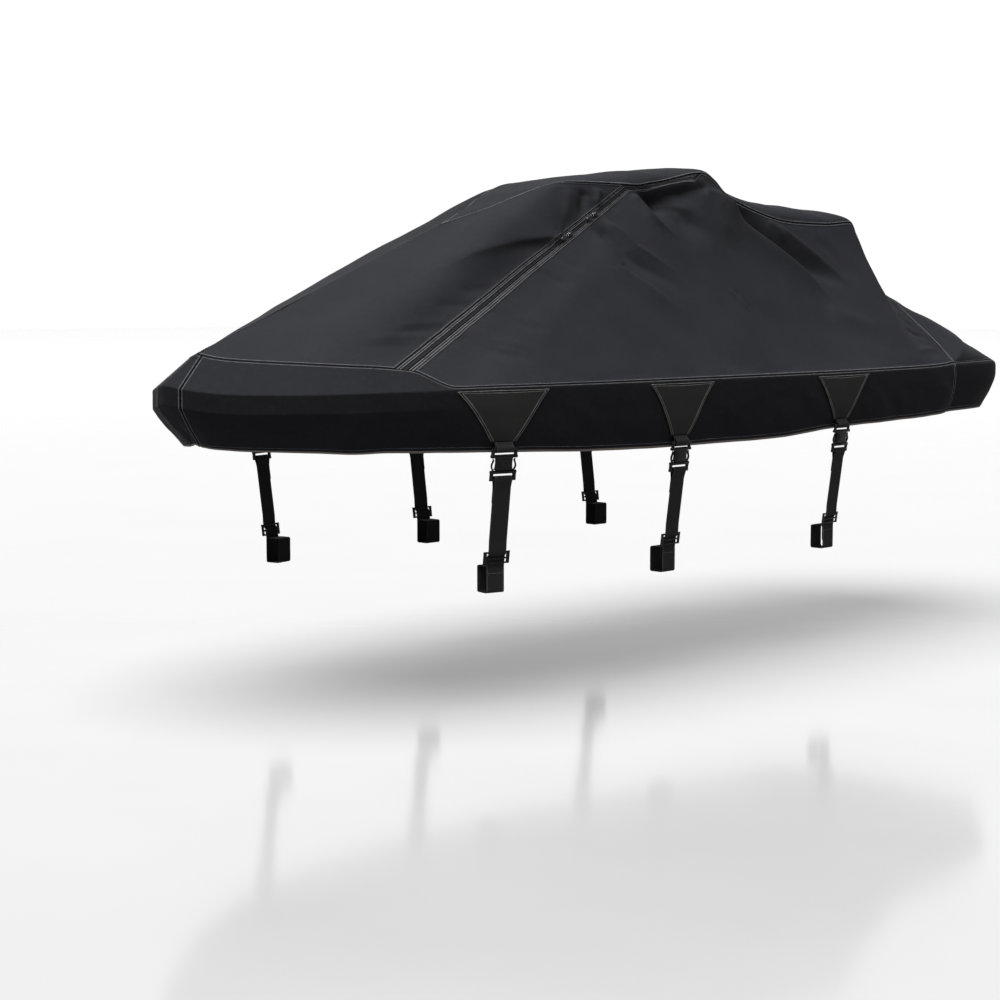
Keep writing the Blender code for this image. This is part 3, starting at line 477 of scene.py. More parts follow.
def newGroup(name, inputs, outputs):
    group = bpy.data.node_groups.new(name, "ShaderNodeTree")
    for label, value in inputs.items():
        socket = group.interface.new_socket(name=label, in_out="INPUT", socket_type="NodeSocketFloat")
        socket.default_value = value
    for label in outputs:
        group.interface.new_socket(name=label, in_out="OUTPUT", socket_type="NodeSocketFloat")
    given, made = group.nodes.new("NodeGroupInput").outputs, group.nodes.new("NodeGroupOutput").inputs
    return group, given, made, Wiring(group)


class Wiring:
    # short ways to add and join nodes in one tree
    def __init__(self, tree):
        self.tree = tree

    def put(self, socket, value):
        if isinstance(value, bpy.types.NodeSocket):
            self.tree.links.new(value, socket)
        else:
            socket.default_value = value

    def add(self, kind, values, output=0, **settings):
        node = self.tree.nodes.new("ShaderNode" + kind)
        for key, value in settings.items():
            setattr(node, key, value)
        for label, value in values.items():
            self.put(node.inputs[label], value)
        return node.outputs if output is None else node.outputs[output]

    def math(self, operation, *values):
        return self.add("Math", dict(enumerate(values)), operation=operation)

    def attribute(self, name):
        return self.add("Attribute", {}, "Fac", attribute_name=name)

    def position(self):
        return self.add("TexCoord", {}, "Object")

    def noise(self, vector, scale, detail, roughness=.5):
        values = {"Vector": vector, "Scale": scale, "Detail": detail, "Roughness": roughness}
        return self.add("TexNoise", values, "Fac")

    def range(self, *values):
        labels = ("Value", "From Min", "From Max", "To Min", "To Max")
        return self.add("MapRange", dict(zip(labels, values)))

    def mix(self, factor, a, b):
        return self.add("Mix", {0: factor, 6: a, 7: b}, 2, data_type="RGBA")

    def group(self, tree, values):
        return self.add("Group", values, None, node_tree=tree)


def mottleGroup():
    # slow changes of shade, and specks of dust
    inputs = {"Size": 6.0, "Amount": .25, "Dust": .1}
    group, given, made, w = newGroup("clothMottle", inputs, ("Shade", "Dust"))
    spot = w.position()
    slow = w.noise(spot, given["Size"], 3.0)
    fine = w.noise(spot, w.math("MULTIPLY", given["Size"], 16.0), 4.0, .6)
    w.put(made["Shade"], w.math("MULTIPLY_ADD", w.math("SUBTRACT", slow, .5), given["Amount"], .5))
    w.put(made["Dust"], w.math("MULTIPLY", w.range(fine, .50, .80), given["Dust"]))
    return group


def weaveGroup():
    # plain weave along the sheet's own run and rise, in threads per metre
    group, given, made, w = newGroup("plainWeave", {"Threads": 900.0, "Depth": .0002}, ("Height", "Over"))

    def threads(way):
        count = w.math("MULTIPLY", w.attribute(way), given["Threads"])
        return w.math("SINE", w.math("MULTIPLY", count, math.pi))

    over = w.math("MULTIPLY", threads("clothRun"), threads("clothRise"))
    w.put(made["Over"], w.math("MULTIPLY_ADD", over, .5, .5))
    w.put(made["Height"], w.math("MULTIPLY", over, given["Depth"]))
    return group


def rubAndShadeLinesGroup():
    # pale lines at two distances from a seam or an edge, broken up along it, and a dark line at a third
    # distance: painted shade, where the groove of the seam would lie in shadow
    inputs = {"First": .0045, "Second": .0105, "Width": .0015, "Break": 60.0,
              "Painted Shade": 0.0, "Painted Shade Width": .0022}
    group, given, made, w = newGroup("seamLines", inputs, ("Pale", "Painted Shade"))
    gap = w.attribute("seamGap")

    def line(at, width):
        off = w.math("DIVIDE", w.math("ABSOLUTE", w.math("SUBTRACT", gap, at)), width)
        return w.range(off, .3, 1.15, 1.0, 0.0)

    broken = w.range(w.noise(w.position(), given["Break"], 3.0), .30, .62, .45, 1.0)
    pale = w.math("MAXIMUM", line(given["First"], given["Width"]), line(given["Second"], given["Width"]))
    w.put(made["Pale"], w.math("MULTIPLY", pale, broken))
    w.put(made["Painted Shade"], line(given["Painted Shade"], given["Painted Shade Width"]))
    return group


mottle, weave, rubAndShadeLines = mottleGroup(), weaveGroup(), rubAndShadeLinesGroup()
clothFinish = {                  # what the cloths share
    "colour": (.0122, .0124, .0143), "dustColour": (.023, .023, .026), "dust": .16, "mottleSize": 4.0,
    "rubColour": (.075, .075, .080), "rubStrength": .85, "rubLines": (.0060, .0060), "rubWidth": .0016,
    # the dark line's distance and width: painted shade in the seam's groove
    "paintedShadeLine": (0.0, .0024), "roughness": .54, "specular": .009, "threads": 900.0, "threadDepth": .00012,
    "bump": .5,
}
clothKinds = {                   # and where each is different
    "hoodCloth": {},
    "bandClothPaintedShade": {
        # the hood's fabric, with its colour and rub colour darker than the hood's: painted shade on the
        # band's steep sides
        "colour": (.0080, .0081, .0093), "rubColour": (.060, .060, .064), "specular": .010,
        "edgeColour": (.095, .086, .079), "edgeWidth": (.0060, .0078)},
    "tabCloth": {
        "colour": (.0165, .0165, .0161), "dustColour": (.026, .026, .0255), "rubColour": (.085, .085, .082),
        "rubStrength": .95, "rubLines": (.0030, .0098), "rubWidth": .0018, "paintedShadeLine": (.0064, .0022),
        "roughness": .8, "specular": .03, "threads": 700.0, "threadDepth": .0002},
    "webbingCloth": {
        "colour": (.0130, .0130, .0127), "dustColour": (.022, .022, .0215), "rubColour": (.032, .032, .031),
        "rubStrength": .6, "rubLines": (.0026, .0034), "paintedShadeLine": (0.0, .0009), "roughness": .75,
        "specular": .06, "threads": 560.0, "threadDepth": .0004},
    "zipTapeCloth": {
        "colour": (.0100, .0101, .0106), "rubColour": (.085, .085, .088), "rubStrength": .9,
        # its dark line is painted shade in the groove beside the coil
        "rubLines": (.0035, .0115), "rubWidth": .0019, "paintedShadeLine": (.0152, .0022), "roughness": .7,
        "threads": 760.0, "threadDepth": .0002},
}
hardKinds = {                    # colour, roughness, metallic, specular
    "bucklePlastic": ((.0056, .0056, .0058), .26, 0.0, .10),
    "zipMetal": ((.050, .050, .053), .20, .85, .6),
    "coilPlastic": ((.016, .016, .0165), .35, 0.0, .3),
    "threadGrey": ((.13, .132, .14), .6, 0.0, .15),
}


def shaderMaterial(name, settings):
    material = bpy.data.materials.new(name)
    material.use_nodes = True
    shader = material.node_tree.nodes["Principled BSDF"]
    for label, value in settings.items():
        shader.inputs[label].default_value = value
    return material, shader.inputs, Wiring(material.node_tree)


def shade(colour, factor=1):
    return tuple(c * factor for c in colour) + (1,)


def mottled(w, spots, colour, darkest, palest):
    return w.mix(w.range(spots["Shade"], .2, .8), shade(colour, darkest), shade(colour, palest))


def clothMaterial(name, own):
    finish = {**clothFinish, **own}
    colour = finish["colour"]
    material, shader, w = shaderMaterial(name, {"Specular IOR Level": finish["specular"],
                                                "Specular Tint": (.86, .90, 1, 1)})
    spots = w.group(mottle, {"Size": finish["mottleSize"], "Amount": .9, "Dust": finish["dust"]})
    threads = w.group(weave, {"Threads": finish["threads"], "Depth": finish["threadDepth"]})
    lines = w.group(rubAndShadeLines, {"First": finish["rubLines"][0], "Second": finish["rubLines"][1],
                          "Width": finish["rubWidth"], "Painted Shade": finish["paintedShadeLine"][0],
                          "Painted Shade Width": finish["paintedShadeLine"][1]})
    base = mottled(w, spots, colour, .82, 1.18)
    base = w.mix(w.math("MULTIPLY", threads["Over"], .3), base, shade(colour, .6))
    base = w.mix(spots["Dust"], base, shade(finish["dustColour"]))
    base = w.mix(w.math("MULTIPLY", lines["Pale"], finish["rubStrength"]), base, shade(finish["rubColour"]))
    # painted shade: the cloth darkened along the dark line, as if in the shadow of a seam's groove
    base = w.mix(w.math("MULTIPLY", lines["Painted Shade"], .85), base, shade(colour, .12))
    if "edgeColour" in finish:   # the hem's worn edge
        edge = w.range(w.attribute("hemGap"), *finish["edgeWidth"], 1.0, 0.0)
        base = w.mix(edge, base, shade(finish["edgeColour"]))
    w.put(shader["Base Color"], base)
    rough = finish["roughness"]
    w.put(shader["Roughness"], w.range(spots["Shade"], .2, .8, rough - .05, rough + .06))
    bump = {"Distance": 1.0, "Strength": finish["bump"], "Height": threads["Height"]}
    w.put(shader["Normal"], w.add("Bump", bump, "Normal"))
    return material


def hardMaterial(name, colour, roughness, metallic, specular):
    # moulded plastic, thread and painted metal, with worn high spots
    material, shader, w = shaderMaterial(name, {"Metallic": metallic, "Specular IOR Level": specular})
    spots = w.group(mottle, {"Size": 30.0, "Amount": 1.0, "Dust": .3})
    w.put(shader["Base Color"], w.mix(spots["Dust"], mottled(w, spots, colour, .8, 1.25), shade(colour, 2.5)))
    w.put(shader["Roughness"], w.range(spots["Shade"], .1, .9, roughness * .75, roughness * 1.3))
    return material


materials = {name: clothMaterial(name, own) for name, own in clothKinds.items()}
materials.update({name: hardMaterial(name, *values) for name, values in hardKinds.items()})
print("materials made")

# Stitches are kept as rows while the cloth is made, and made in one mesh for each kind.
stitches = {"pitch": .0052, "length": .0040, "width": .0013, "height": .0009, "trim": .004}
stitchRows = {"hood": [], "band": [], "webbing": []}


def addRow(kind, line, normals, flip=False):
    run, trim = runAlong(line), stitches["trim"]
    length = run[-1] - 2 * trim
    if length < trim:
        return
    count = max(1, int(length / stitches["pitch"]))
    spots, half = trim + (np.arange(count) + .5) * length / count, stitches["length"] / 2
    start, end = (sampled(spots + shift, run, line) for shift in (-half, half))
    stitchRows[kind].append((start, end, unit(sampled(spots, run, normals)) * (-1 if flip else 1)))


def stitchEdge(kind, grid, edge, gap, flip=False):
    # a row of stitches at a distance in from one edge of a sheet
    turned, normals = grid, gridNormals(grid)
    if edge < 2:
        turned, normals = turned.transpose(1, 0, 2), normals.transpose(1, 0, 2)
    if edge % 2:
        turned, normals = turned[:, ::-1], normals[:, ::-1]
    line, facings = [], []
    for row, normalRow in zip(turned, normals):
        run = runAlong(row)
        if run[-1] >= 2.5 * gap:
            line.append(sampled(gap, run, row))
            facings.append(sampled(gap, run, normalRow))
    if len(line) > 1:
        addRow(kind, np.array(line), np.array(facings), flip)


def buildStitches(kind):
    start, end, normal = (np.concatenate(parts) for parts in zip(*stitchRows[kind]))
    middle = (start + end) / 2
    across = unit(np.cross(end - start, normal)) * stitches["width"] / 2
    lift = normal * stitches["height"]
    verts = np.stack([start, middle - across, middle + lift, middle + across, middle - lift * .5, end], 1)
    ring = ((1, 2), (2, 3), (3, 4), (4, 1))
    corners = np.array([(0, j, i) for i, j in ring] + [(5, i, j) for i, j in ring])
    faces = (np.arange(len(start))[:, None, None] * 6 + corners[None]).reshape(-1, 3)
    addMesh(f"stitches.{kind}", (verts.reshape(-1, 3).tolist(), faces.tolist()), "threadGrey",
            sharpFrom=None)
    print("stitches.", kind, len(start))


def spread(length, cell):
    # shares across a panel: close together by the seams, even between them
    near = np.array(cover["seamSteps"])
    count = max(4, int(round((np.max(length) - 2 * near[-1]) / cell)))
    inner = np.linspace(0, 1, count + 1)[1:-1]
    length = np.asarray(length, float)[:, None]
    tight = np.minimum(1, length / (3 * near[-1]))
    low = near[None] * tight / np.maximum(length, 1e-9)
    low = np.where(length > 1e-6, low, np.linspace(0, .1, len(near))[None])
    start, stop = low[:, -1:], 1 - low[:, -1:]
    return np.concatenate([low, start + (stop - start) * inner[None], 1 - low[:, ::-1]], 1)


def placesBetween(first, last, cell, measure):
    # places along the cover, even along a measured line and close together by both ends
    fine = np.linspace(first, last, 1500)
    run = runAlong(measure(fine))
    near = np.array(cover["seamSteps"])
    count = max(4, int(round((run[-1] - 2 * near[-1]) / cell)))
    even = np.linspace(near[-1], run[-1] - near[-1], count + 1)[1:-1]
    return np.interp(np.concatenate([near, even, run[-1] - near[::-1]]), run, fine)


def doubled(away, gap, rise):
    # how far the face is out: more where the cloth is double beside a seam, and nothing on the seam
    face = cover["outerFace"] + rise * (1 - smoothStep(away, *cover["feltEdge"]))
    return face * smoothStep(gap, 0, cover["grooveWidth"])


def hoodPanel(name, node, grid, seams, stitched, flip=False):
    # the outer face of a panel, doubled and puckered along its seams, with their stitches
    edges = edgeDistances(grid)
    gap = np.minimum.reduce([edges[edge] for edge in seams])
    depth, width = cover["stitchSink"]
    offset = doubled(gap, gap, cover["feltRise"]) - depth * np.exp(-((gap - cover["stitchGap"]) / width) ** 2)
    puckers = sum(softNoise(grid, size, seed) * cover["puckerHeight"] for size, seed in cover["puckers"])
    puckers = puckers * (1 - smoothStep(gap, *cover["puckerFar"])) * smoothStep(gap, *cover["puckerNear"])
    sheet = grid + gridNormals(grid) * (-1 if flip else 1) * (offset + puckers)[..., None]
    for edge in stitched:
        stitchEdge("hood", sheet, edge, cover["stitchGap"], flip)
    values = {"seamGap": gap, "clothRun": edges[0], "clothRise": edges[2]}
    makeSheet(name, sheet, values, "hoodCloth", node, flip=flip)


def sideHeight(place, top=1.0):
    return np.linalg.norm(sidePoints(place, top) - sidePoints(place, 0), axis=-1)


def tapeEdge(place):
    # share at the lower edge of the zip's tape, which runs along the top seam as far as the peak
    edge = 1 - cover["tapeWidth"] / np.maximum(sideHeight(place), .1)
    return edge + (1 - edge) * smoothStep(place - hoopNumber["peak"], *cover["tapeEnd"])


def buildSide(side):
    port = side == "port"
    first, last = hoopNumber["zipAft" if port else "zipFore"], hoopNumber["corner"]
    places = placesBetween(first, last, cover["cell"], lambda p: sidePoints(p, .35))
    top = tapeEdge(places) if port else np.ones_like(places)
    shares = spread(sideHeight(places, top), cover["cell"]) * top[:, None]
    grid = hoodSurface(places[:, None], shares, side)
    hoodPanel(f"sidePanel.{side}", f"side_{side}", grid, (0, 2, 3), (2,) if port else (0, 2), not port)


def buildBonnet():
    places = placesBetween(0, hoopNumber["zipFore"], cover["fineCell"], lambda p: sidePoints(p, .3))
    shares = spread(sideHeight(places), cover["fineCell"])
    port, starboard = (hoodSurface(places[:, None], shares, side) for side in ("port", "starboard"))
    hoodPanel("bonnetPanel", "bonnet", np.concatenate([starboard[::-1], port[1:]]), (0, 1, 2, 3), (0, 2))


crestWaves = {"long": (.18, 7.0, .0045), "short": (.08, 17.0, .0018), "edge": .25}     # size, seed, height


def buildCentre():
    places = placesBetween(0, lastHoop, cover["wideCell"], lambda p: crestPoints(p, 0))
    width = 2 * np.linalg.norm(crestPoints(places, -1) - crestPoints(places, 0), axis=1)
    shares = spread(width, cover["wideCell"]) * 2 - 1
    shares = np.where(abs(shares) < 1e-9, 1e-9, shares)
    grid = crestPoints(places[:, None], shares)
    lift = sum(softNoise(grid, size, seed) * height
               for size, seed, height in (crestWaves["long"], crestWaves["short"]))
    lift = lift * smoothStep(1 - abs(shares), 0, crestWaves["edge"])
    grid = grid + gridNormals(grid) * lift[..., None]
    hoodPanel("centrePanel", "centre_panel", grid, (1, 2, 3), (2, 3))


for side in ("port", "starboard"):
    buildSide(side)
buildBonnet()
buildCentre()
print("cloth panels made")

hem = {
    "innerLevels": (.26, .18, .10, .04, .01),
    "innerOffset": -.0024,
    "outerLevels": (0, .01, .03, .06, .09, .12, .16, .20, .24, .29),
    "middleLevels": (.36, 3.66, 29),
    "creases": (2, 3), "creaseLevels": (-.050, -.022, 0, .022, .050),
    "topLevels": (3.74, 3.82, 3.88, 3.93, 3.97, 4),
    "stitchGap": .016,
    "rise": .0007, "riseEdge": (.018, .022),
    "endRise": .8,               # of the hood's double layer, where bands are joined
}
sternWaves = {"size": .16, "height": .005, "stretch": .4, "seed": 71.0, "steps": 90, "cornerBlend": .80}


def buildBand(name, node, surface, flip=False):
    # surface gives the line of points and normals at one level; the hem turns up inside
    creases = [edge + step for edge in hem["creases"] for step in hem["creaseLevels"]]
    middle = np.unique(np.round(np.concatenate([np.linspace(*hem["middleLevels"]), creases]), 3))
    outer = [surface(level) for level in (*hem["outerLevels"], *middle, *hem["topLevels"])]
    grid, normal = (np.stack(lines, 1) for lines in zip(*outer))
    edges = edgeDistances(grid)
    ends = np.minimum(edges[0], edges[1])
    gap = np.minimum(ends, edges[3])
    offset = doubled(ends, gap, cover["feltRise"] * hem["endRise"])
    offset = offset + hem["rise"] * (1 - smoothStep(edges[2], *hem["riseEdge"]))
    sheet = grid + normal * offset[..., None]
    for edge in (0, 1):
        stitchEdge("band", sheet[:, 3:-3], edge, cover["stitchGap"], flip)
    stitchEdge("band", sheet, 2, hem["stitchGap"], flip)
    inner = [surface(level) for level in hem["innerLevels"]]
    turned = np.stack([line + facings * hem["innerOffset"] for line, facings in inner], 1)
    pad = lambda values, fill: np.pad(values, ((0, 0), (len(inner), 0)), constant_values=fill)
    values = {"seamGap": pad(gap, 9.0), "clothRun": pad(edges[0], 0.0), "clothRise": pad(edges[2], 0.0),
              "hemGap": pad(edges[2], 0.0)}
    makeSheet(name, np.concatenate([turned, sheet], 1), values, "bandClothPaintedShade", node,
              cover["clothThickness"], flip)


def noseSurface(level):
    # the band's line at one level round the stem, from starboard to port
    line, normal = bandSurface(nose, level, "port")
    return tuple(np.concatenate([mirrored(rows)[::-1], rows[1:]]) for rows in (line, normal))


def sternSurface(level):
    # the band's line at one level from the port corner round the transom to the starboard corner
    portLine, portNormal = bandSurface(quarter, level, "port")
    shares = np.linspace(-1, 1, sternWaves["steps"])
    seam = crestPoints(lastHoop, shares)
    along = np.gradient(seam, axis=0)
    outward = unit(points(along[:, 1], -along[:, 0], 0))
    hoop = hoopsAt(lastHoop)
    corner = hoop["outward"] * points(1, np.where(shares < 0, 1, -1), 1)
    near = smoothStep(abs(shares), sternWaves["cornerBlend"], 1)[:, None]
    outward = unit(outward * (1 - near) + corner * near)
    knots = bandKnots(seam + outward * hoop["bandIn"] - up * hoop["bandUp"], outward, hoop)
    levels = (max(level - .03, 0), level, min(level + .03, 4))
    low, line, high = (alongBand(knots, at, hoop["softness"]) for at in levels)
    normal = unit(np.cross(np.gradient(line, axis=0), high - low))
    waves = softNoise(line * np.array([1, 1, sternWaves["stretch"]]), sternWaves["size"], sternWaves["seed"])
    slack = waves * sternWaves["height"] * (1 - near[:, 0]) * smoothStep(level, -.3, .8)
    line = line + normal * (slack * (1 - smoothStep(level, 1.6, 2.6)))[:, None]
    return tuple(np.concatenate([end, rows[1:-1], mirrored(end)[::-1]])
                 for end, rows in ((portLine, line), (portNormal, normal)))


long, nose, quarter = (
    placesBetween(first, last, cell, lambda p: bandPoints(p, 2.0)) for first, last, cell in (
        (hoopNumber["strip"], hoopNumber["corner"], cover["bandCell"]),
        (0, hoopNumber["strip"], cover["noseCell"]),
        (hoopNumber["corner"], lastHoop, cover["bandCell"])))
buildBand("band.port", "band_port", lambda level: bandSurface(long, level, "port"))
buildBand("band.starboard", "band_starboard", lambda level: bandSurface(long, level, "starboard"), flip=True)
buildBand("noseStrip", "nose_strip", noseSurface)
buildBand("band.stern", "band_stern", sternSurface)
print("bands made")

zipTape = {
    # across the tape: distance from its upper edge, and height
    "profile": (
        (0, -.001), (.0008, .0008), (.003, .0009), (.0065, .0011), (.010, .0011), (.0125, .0014),
        (.0138, .0012), (.0145, 0), (.0165, -.0002), (.0185, .0004), (.020, .0008), (.022, .0009),
        (.024, .0008), (.0255, .0004), (.0275, -.0002), (.0295, 0), (.0302, .0012), (.0315, .0014),
        (.034, .0011), (.0375, .0011), (.041, .0009), (.0432, .0008), (.044, -.001)),
    "middle": 11,                # number of the profile's point on the coil
    "rows": (.0030, .0110, .0330, .0410),
    "cell": .007, "riseSteps": 190, "fanSteps": 8,
    "toothPitch": .0030, "toothLength": .0042, "toothWidth": .0016, "toothHeight": .0014, "coilEnds": .006,
    "tackPlace": 8.0,
}


def tapeParameters():
    # place and share at both edges of the tape: up between bonnet and side, round the bend, then aft
    fore, aft, peak = (hoopNumber[name] for name in ("zipFore", "zipAft", "peak"))
    corner = tapeEdge(float(aft))
    rise = np.linspace(0, corner, zipTape["riseSteps"])
    fan = np.linspace(0, 2, zipTape["fanSteps"] + 1)[1:]
    back = placesBetween(aft, peak, zipTape["cell"], lambda p: sidePoints(p, 1.0))[1:]
    nearPlace = [np.full(len(rise), fore), fore + (aft - fore) * np.maximum(fan - 1, 0), back]
    nearShare = [rise, corner + (1 - corner) * np.minimum(fan, 1), np.ones(len(back))]
    farPlace = [np.full(len(rise) + len(fan), aft), back]
    farShare = [rise, np.full(len(fan), corner), tapeEdge(back)]
    return [np.stack([np.concatenate(place), np.concatenate(share)], 1)
            for place, share in ((nearPlace, nearShare), (farPlace, farShare))]


def buildZip():
    near, far = tapeParameters()
    distance, height = np.array(zipTape["profile"]).T
    share = (distance / cover["tapeWidth"])[None, :, None]
    across = near[:, None] * (1 - share) + far[:, None] * share
    grid = hoodSurface(across[..., 0], across[..., 1], "port")
    normal = gridNormals(grid)
    # where the rows meet at the bend, the upper edge's normals serve
    normal = np.where(np.linalg.norm(normal, axis=-1)[..., None] < .5, normal[:, :1], normal)
    sheet = grid + normal * (cover["outerFace"] + height)[None, :, None]
    values = {"seamGap": np.minimum(distance, cover["tapeWidth"] - distance),
              "clothRun": runAlong(grid[:, zipTape["middle"]])[:, None], "clothRise": distance}
    makeSheet("zipTape", sheet, values, "zipTapeCloth", "zip_tape", cover["clothThickness"])
    for row in zipTape["rows"]:
        k = int(np.argmin(abs(distance - row)))
        addRow("hood", sheet[:, k], normal[:, k])
    tack = int(np.argmin(abs(near[:, 0] - zipTape["tackPlace"]) + (near[:, 1] < .999)))
    for k in (tack, tack + 1):
        addRow("hood", sheet[k], normal[k])
    buildCoil(sheet[:, zipTape["middle"]], normal[:, zipTape["middle"]])


def buildCoil(line, normals):
    # the coil's turns as small bars, one side after the other
    run = runAlong(line)
    spots = np.arange(zipTape["coilEnds"], run[-1] - zipTape["coilEnds"], zipTape["toothPitch"] / 2)
    normal = unit(sampled(spots, run, normals))
    along = unit(sampled(spots + .001, run, line) - sampled(spots - .001, run, line))
    across = unit(np.cross(normal, along))
    sideways = np.where(np.arange(len(spots)) % 2, 1, -1)[:, None]
    middle = sampled(spots, run, line) + across * sideways * zipTape["toothLength"] * .32
    a, b = along * zipTape["toothWidth"] / 2, across * zipTape["toothLength"] / 2
    c = normal * zipTape["toothHeight"]
    ring = [-b - a * .5, -b + a * .5, b + a, b - a]
    verts = np.stack([middle + r for r in ring] + [middle + r * .7 + c for r in ring], 1).reshape(-1, 3)
    corners = np.array([(0, 1, 5, 4), (1, 2, 6, 5), (2, 3, 7, 6), (3, 0, 4, 7), (4, 5, 6, 7), (3, 2, 1, 0)])
    faces = (np.arange(len(spots))[:, None, None] * 8 + corners[None]).reshape(-1, 4)
    addMesh("zipCoil", (verts.tolist(), faces.tolist()), "coilPlastic")


def tubeFaces(rings, sides):
    # faces round a body of rings of points, and over its two ends
    faces = [tuple((k + a) * sides + (i + b) % sides for a, b in ((0, 0), (1, 0), (1, 1), (0, 1)))
             for k in range(rings - 1) for i in range(sides)]
    last = (rings - 1) * sides
    return faces + [tuple(range(sides)), tuple(last + i for i in reversed(range(sides)))]


def loft(stations, sides, power):
    # a closed body through rounded sections; a station is y, half width, half depth, x and z of its middle
    verts = []
    for y, halfWidth, halfDepth, x, z in stations:
        for i in range(sides):
            c, s = math.cos(2 * math.pi * i / sides), math.sin(2 * math.pi * i / sides)
            verts.append((x + halfWidth * math.copysign(abs(c) ** (2 / power), c), y,
                          z + halfDepth * math.copysign(abs(s) ** (2 / power), s)))
    return verts, tubeFaces(len(stations), sides)


def block(low, high, halfWidth, halfDepth, edge, sides, power, x=0.0, z=0.0, waist=0.0):
    # a body with rounded ends, drawn in a little at its middle
    stations = []
    for turn in (0, .15 * math.pi, .325 * math.pi, .5 * math.pi):
        inset = edge * (1 - math.sin(turn))
        stations.append((low + edge * (1 - math.cos(turn)), halfWidth - inset, halfDepth - inset, x, z))
    ends = [(low + high - y, *rest) for y, *rest in reversed(stations)]
    middle = ((low + high) / 2, halfWidth - waist, halfDepth - waist * .4, x, z)
    return loft(stations + [middle] + ends, sides, power)


def crossBar(y, halfLength, halfWidth, halfDepth, edge):
    # a bar that lies across
    verts, faces = block(-halfLength, halfLength, halfWidth, halfDepth, edge, 16, 2.6, x=y)
    return [(y, x, z) for x, y, z in verts], [face[::-1] for face in faces]


def joined(bodies):
    verts, faces = [], []
    for bodyVerts, bodyFaces in bodies:
        faces += [tuple(len(verts) + i for i in face) for face in bodyFaces]
        verts += bodyVerts
    return verts, faces


def sweep(path, halfWidth, halfDepth, sides=12):
    # a rounded bar through points (x, y) in the fitting's plane
    verts, last = [], len(path) - 1
    for k, (x, y) in enumerate(path):
        run = (Vector(path[min(k + 1, last)]) - Vector(path[max(k - 1, 0)])).normalized()
        end = .55 if k in (0, last) else 1
        for i in range(sides):
            a = 2 * math.pi * i / sides
            w, d = halfWidth * math.cos(a) * end, halfDepth * math.sin(a) * end
            verts.append((x - run.y * w, y + run.x * w, d))
    return verts, [(face[0], *face[:0:-1]) for face in tubeFaces(len(path), sides)]


slider = {
    "shares": {"lower": .7073, "upper": .8285},
    "halfWidth": .008, "lift": .0016,
    # its plates, post and bridge: distance down, width as a share, half depth and height of each section,
    # then sides and roundness
    "body": (
        (((0, .55, .0010, 0), (.003, .85, .0016, 0), (.011, 1, .0018, 0),
          (.020, .8, .0017, 0), (.028, .5, .0010, 0)), 20, 3),
        (((0, .45, .0008, .0042), (.003, .75, .0014, .0042), (.011, .9, .0016, .0044),
          (.020, .7, .0014, .0042), (.026, .4, .0008, .0042)), 20, 3),
        (((.0015, .35, .0026, .002), (.008, .3, .0028, .002)), 12, 3),
        (((.005, .2, .0012, .00576), (.009, .2375, .0014, .00752), (.014, .2375, .0014, .008),
          (.019, .2375, .0014, .00752), (.023, .2, .0012, .00576)), 12, 2.4)),
    "pullHalfWidth": .006, "pullStart": .0286, "pullHeight": .0071,
    "tag": ((.012, .45, .0012, 0), (.016, .8, .0015, 0), (.022, 1, .0016, 0), (.034, .95, .0016, 0),
            (.039, .8, .0014, 0), (.042, .4, .0009, 0)),
    "ribs": (.020, .024, .028, .032), "rib": (.75, .0008, .0022, .0006),
    "eye": .007, "eyeRadius": .0066, "eyeWidth": .62, "wire": .0013,
}


def plate(rows, halfWidth, start, lift, sides, power):
    # a flat body from the slider's rows
    return loft([(start + y, halfWidth * wide, deep, 0, lift + z) for y, wide, deep, z in rows], sides, power)


def axesMatrix(origin, along, down):
    # x along the band, y down the strap, z out of the cover
    along = Vector(along).normalized()
    down = Vector(down)
    down = (down - along * down.dot(along)).normalized()
    rotation = Matrix((along, down, along.cross(down))).transposed()
    return Matrix.Translation(origin) @ rotation.to_4x4()


def buildSlider(name, share):
    middle = hoopNumber["zipFore"] + .5
    spots = hoodSurface(np.array([middle, middle, middle - .3, middle + .3]),
                        share + np.array([.012, -.012, 0, 0]), "port")
    down = Vector(spots[1] - spots[0])
    out = Vector(spots[3] - spots[2]).cross(-down)
    matrix = axesMatrix(spots.mean(0), down.cross(out), down)
    body = joined([plate(rows, slider["halfWidth"], 0, slider["lift"], *shape)
                   for rows, *shape in slider["body"]])
    addMesh(f"slider.{name}", body, "zipMetal", f"slider_{name}", matrix)
    start, wide = slider["pullStart"], slider["pullHalfWidth"]
    eye, radius = start + slider["eye"], slider["eyeRadius"]
    turns = [math.radians(-80 - 20 * i) for i in range(18)]
    ring = [(wide * slider["eyeWidth"] * math.cos(a), eye + radius * math.sin(a)) for a in turns]
    loop = sweep(ring + ring[:1], slider["wire"], slider["wire"])
    length, *section = slider["rib"]
    ribs = [crossBar(start + y, wide * length, *section) for y in slider["ribs"]]
    verts, faces = joined([loop, plate(slider["tag"], wide, start, 0, 18, 3)] + ribs)
    verts = [(x, y, z + slider["pullHeight"]) for x, y, z in verts]
    addMesh(f"pull.{name}", (verts, faces), "zipMetal", f"pull_{name}", matrix)


buildZip()
for name, share in slider["shares"].items():
    buildSlider(name, share)
print("zip made")

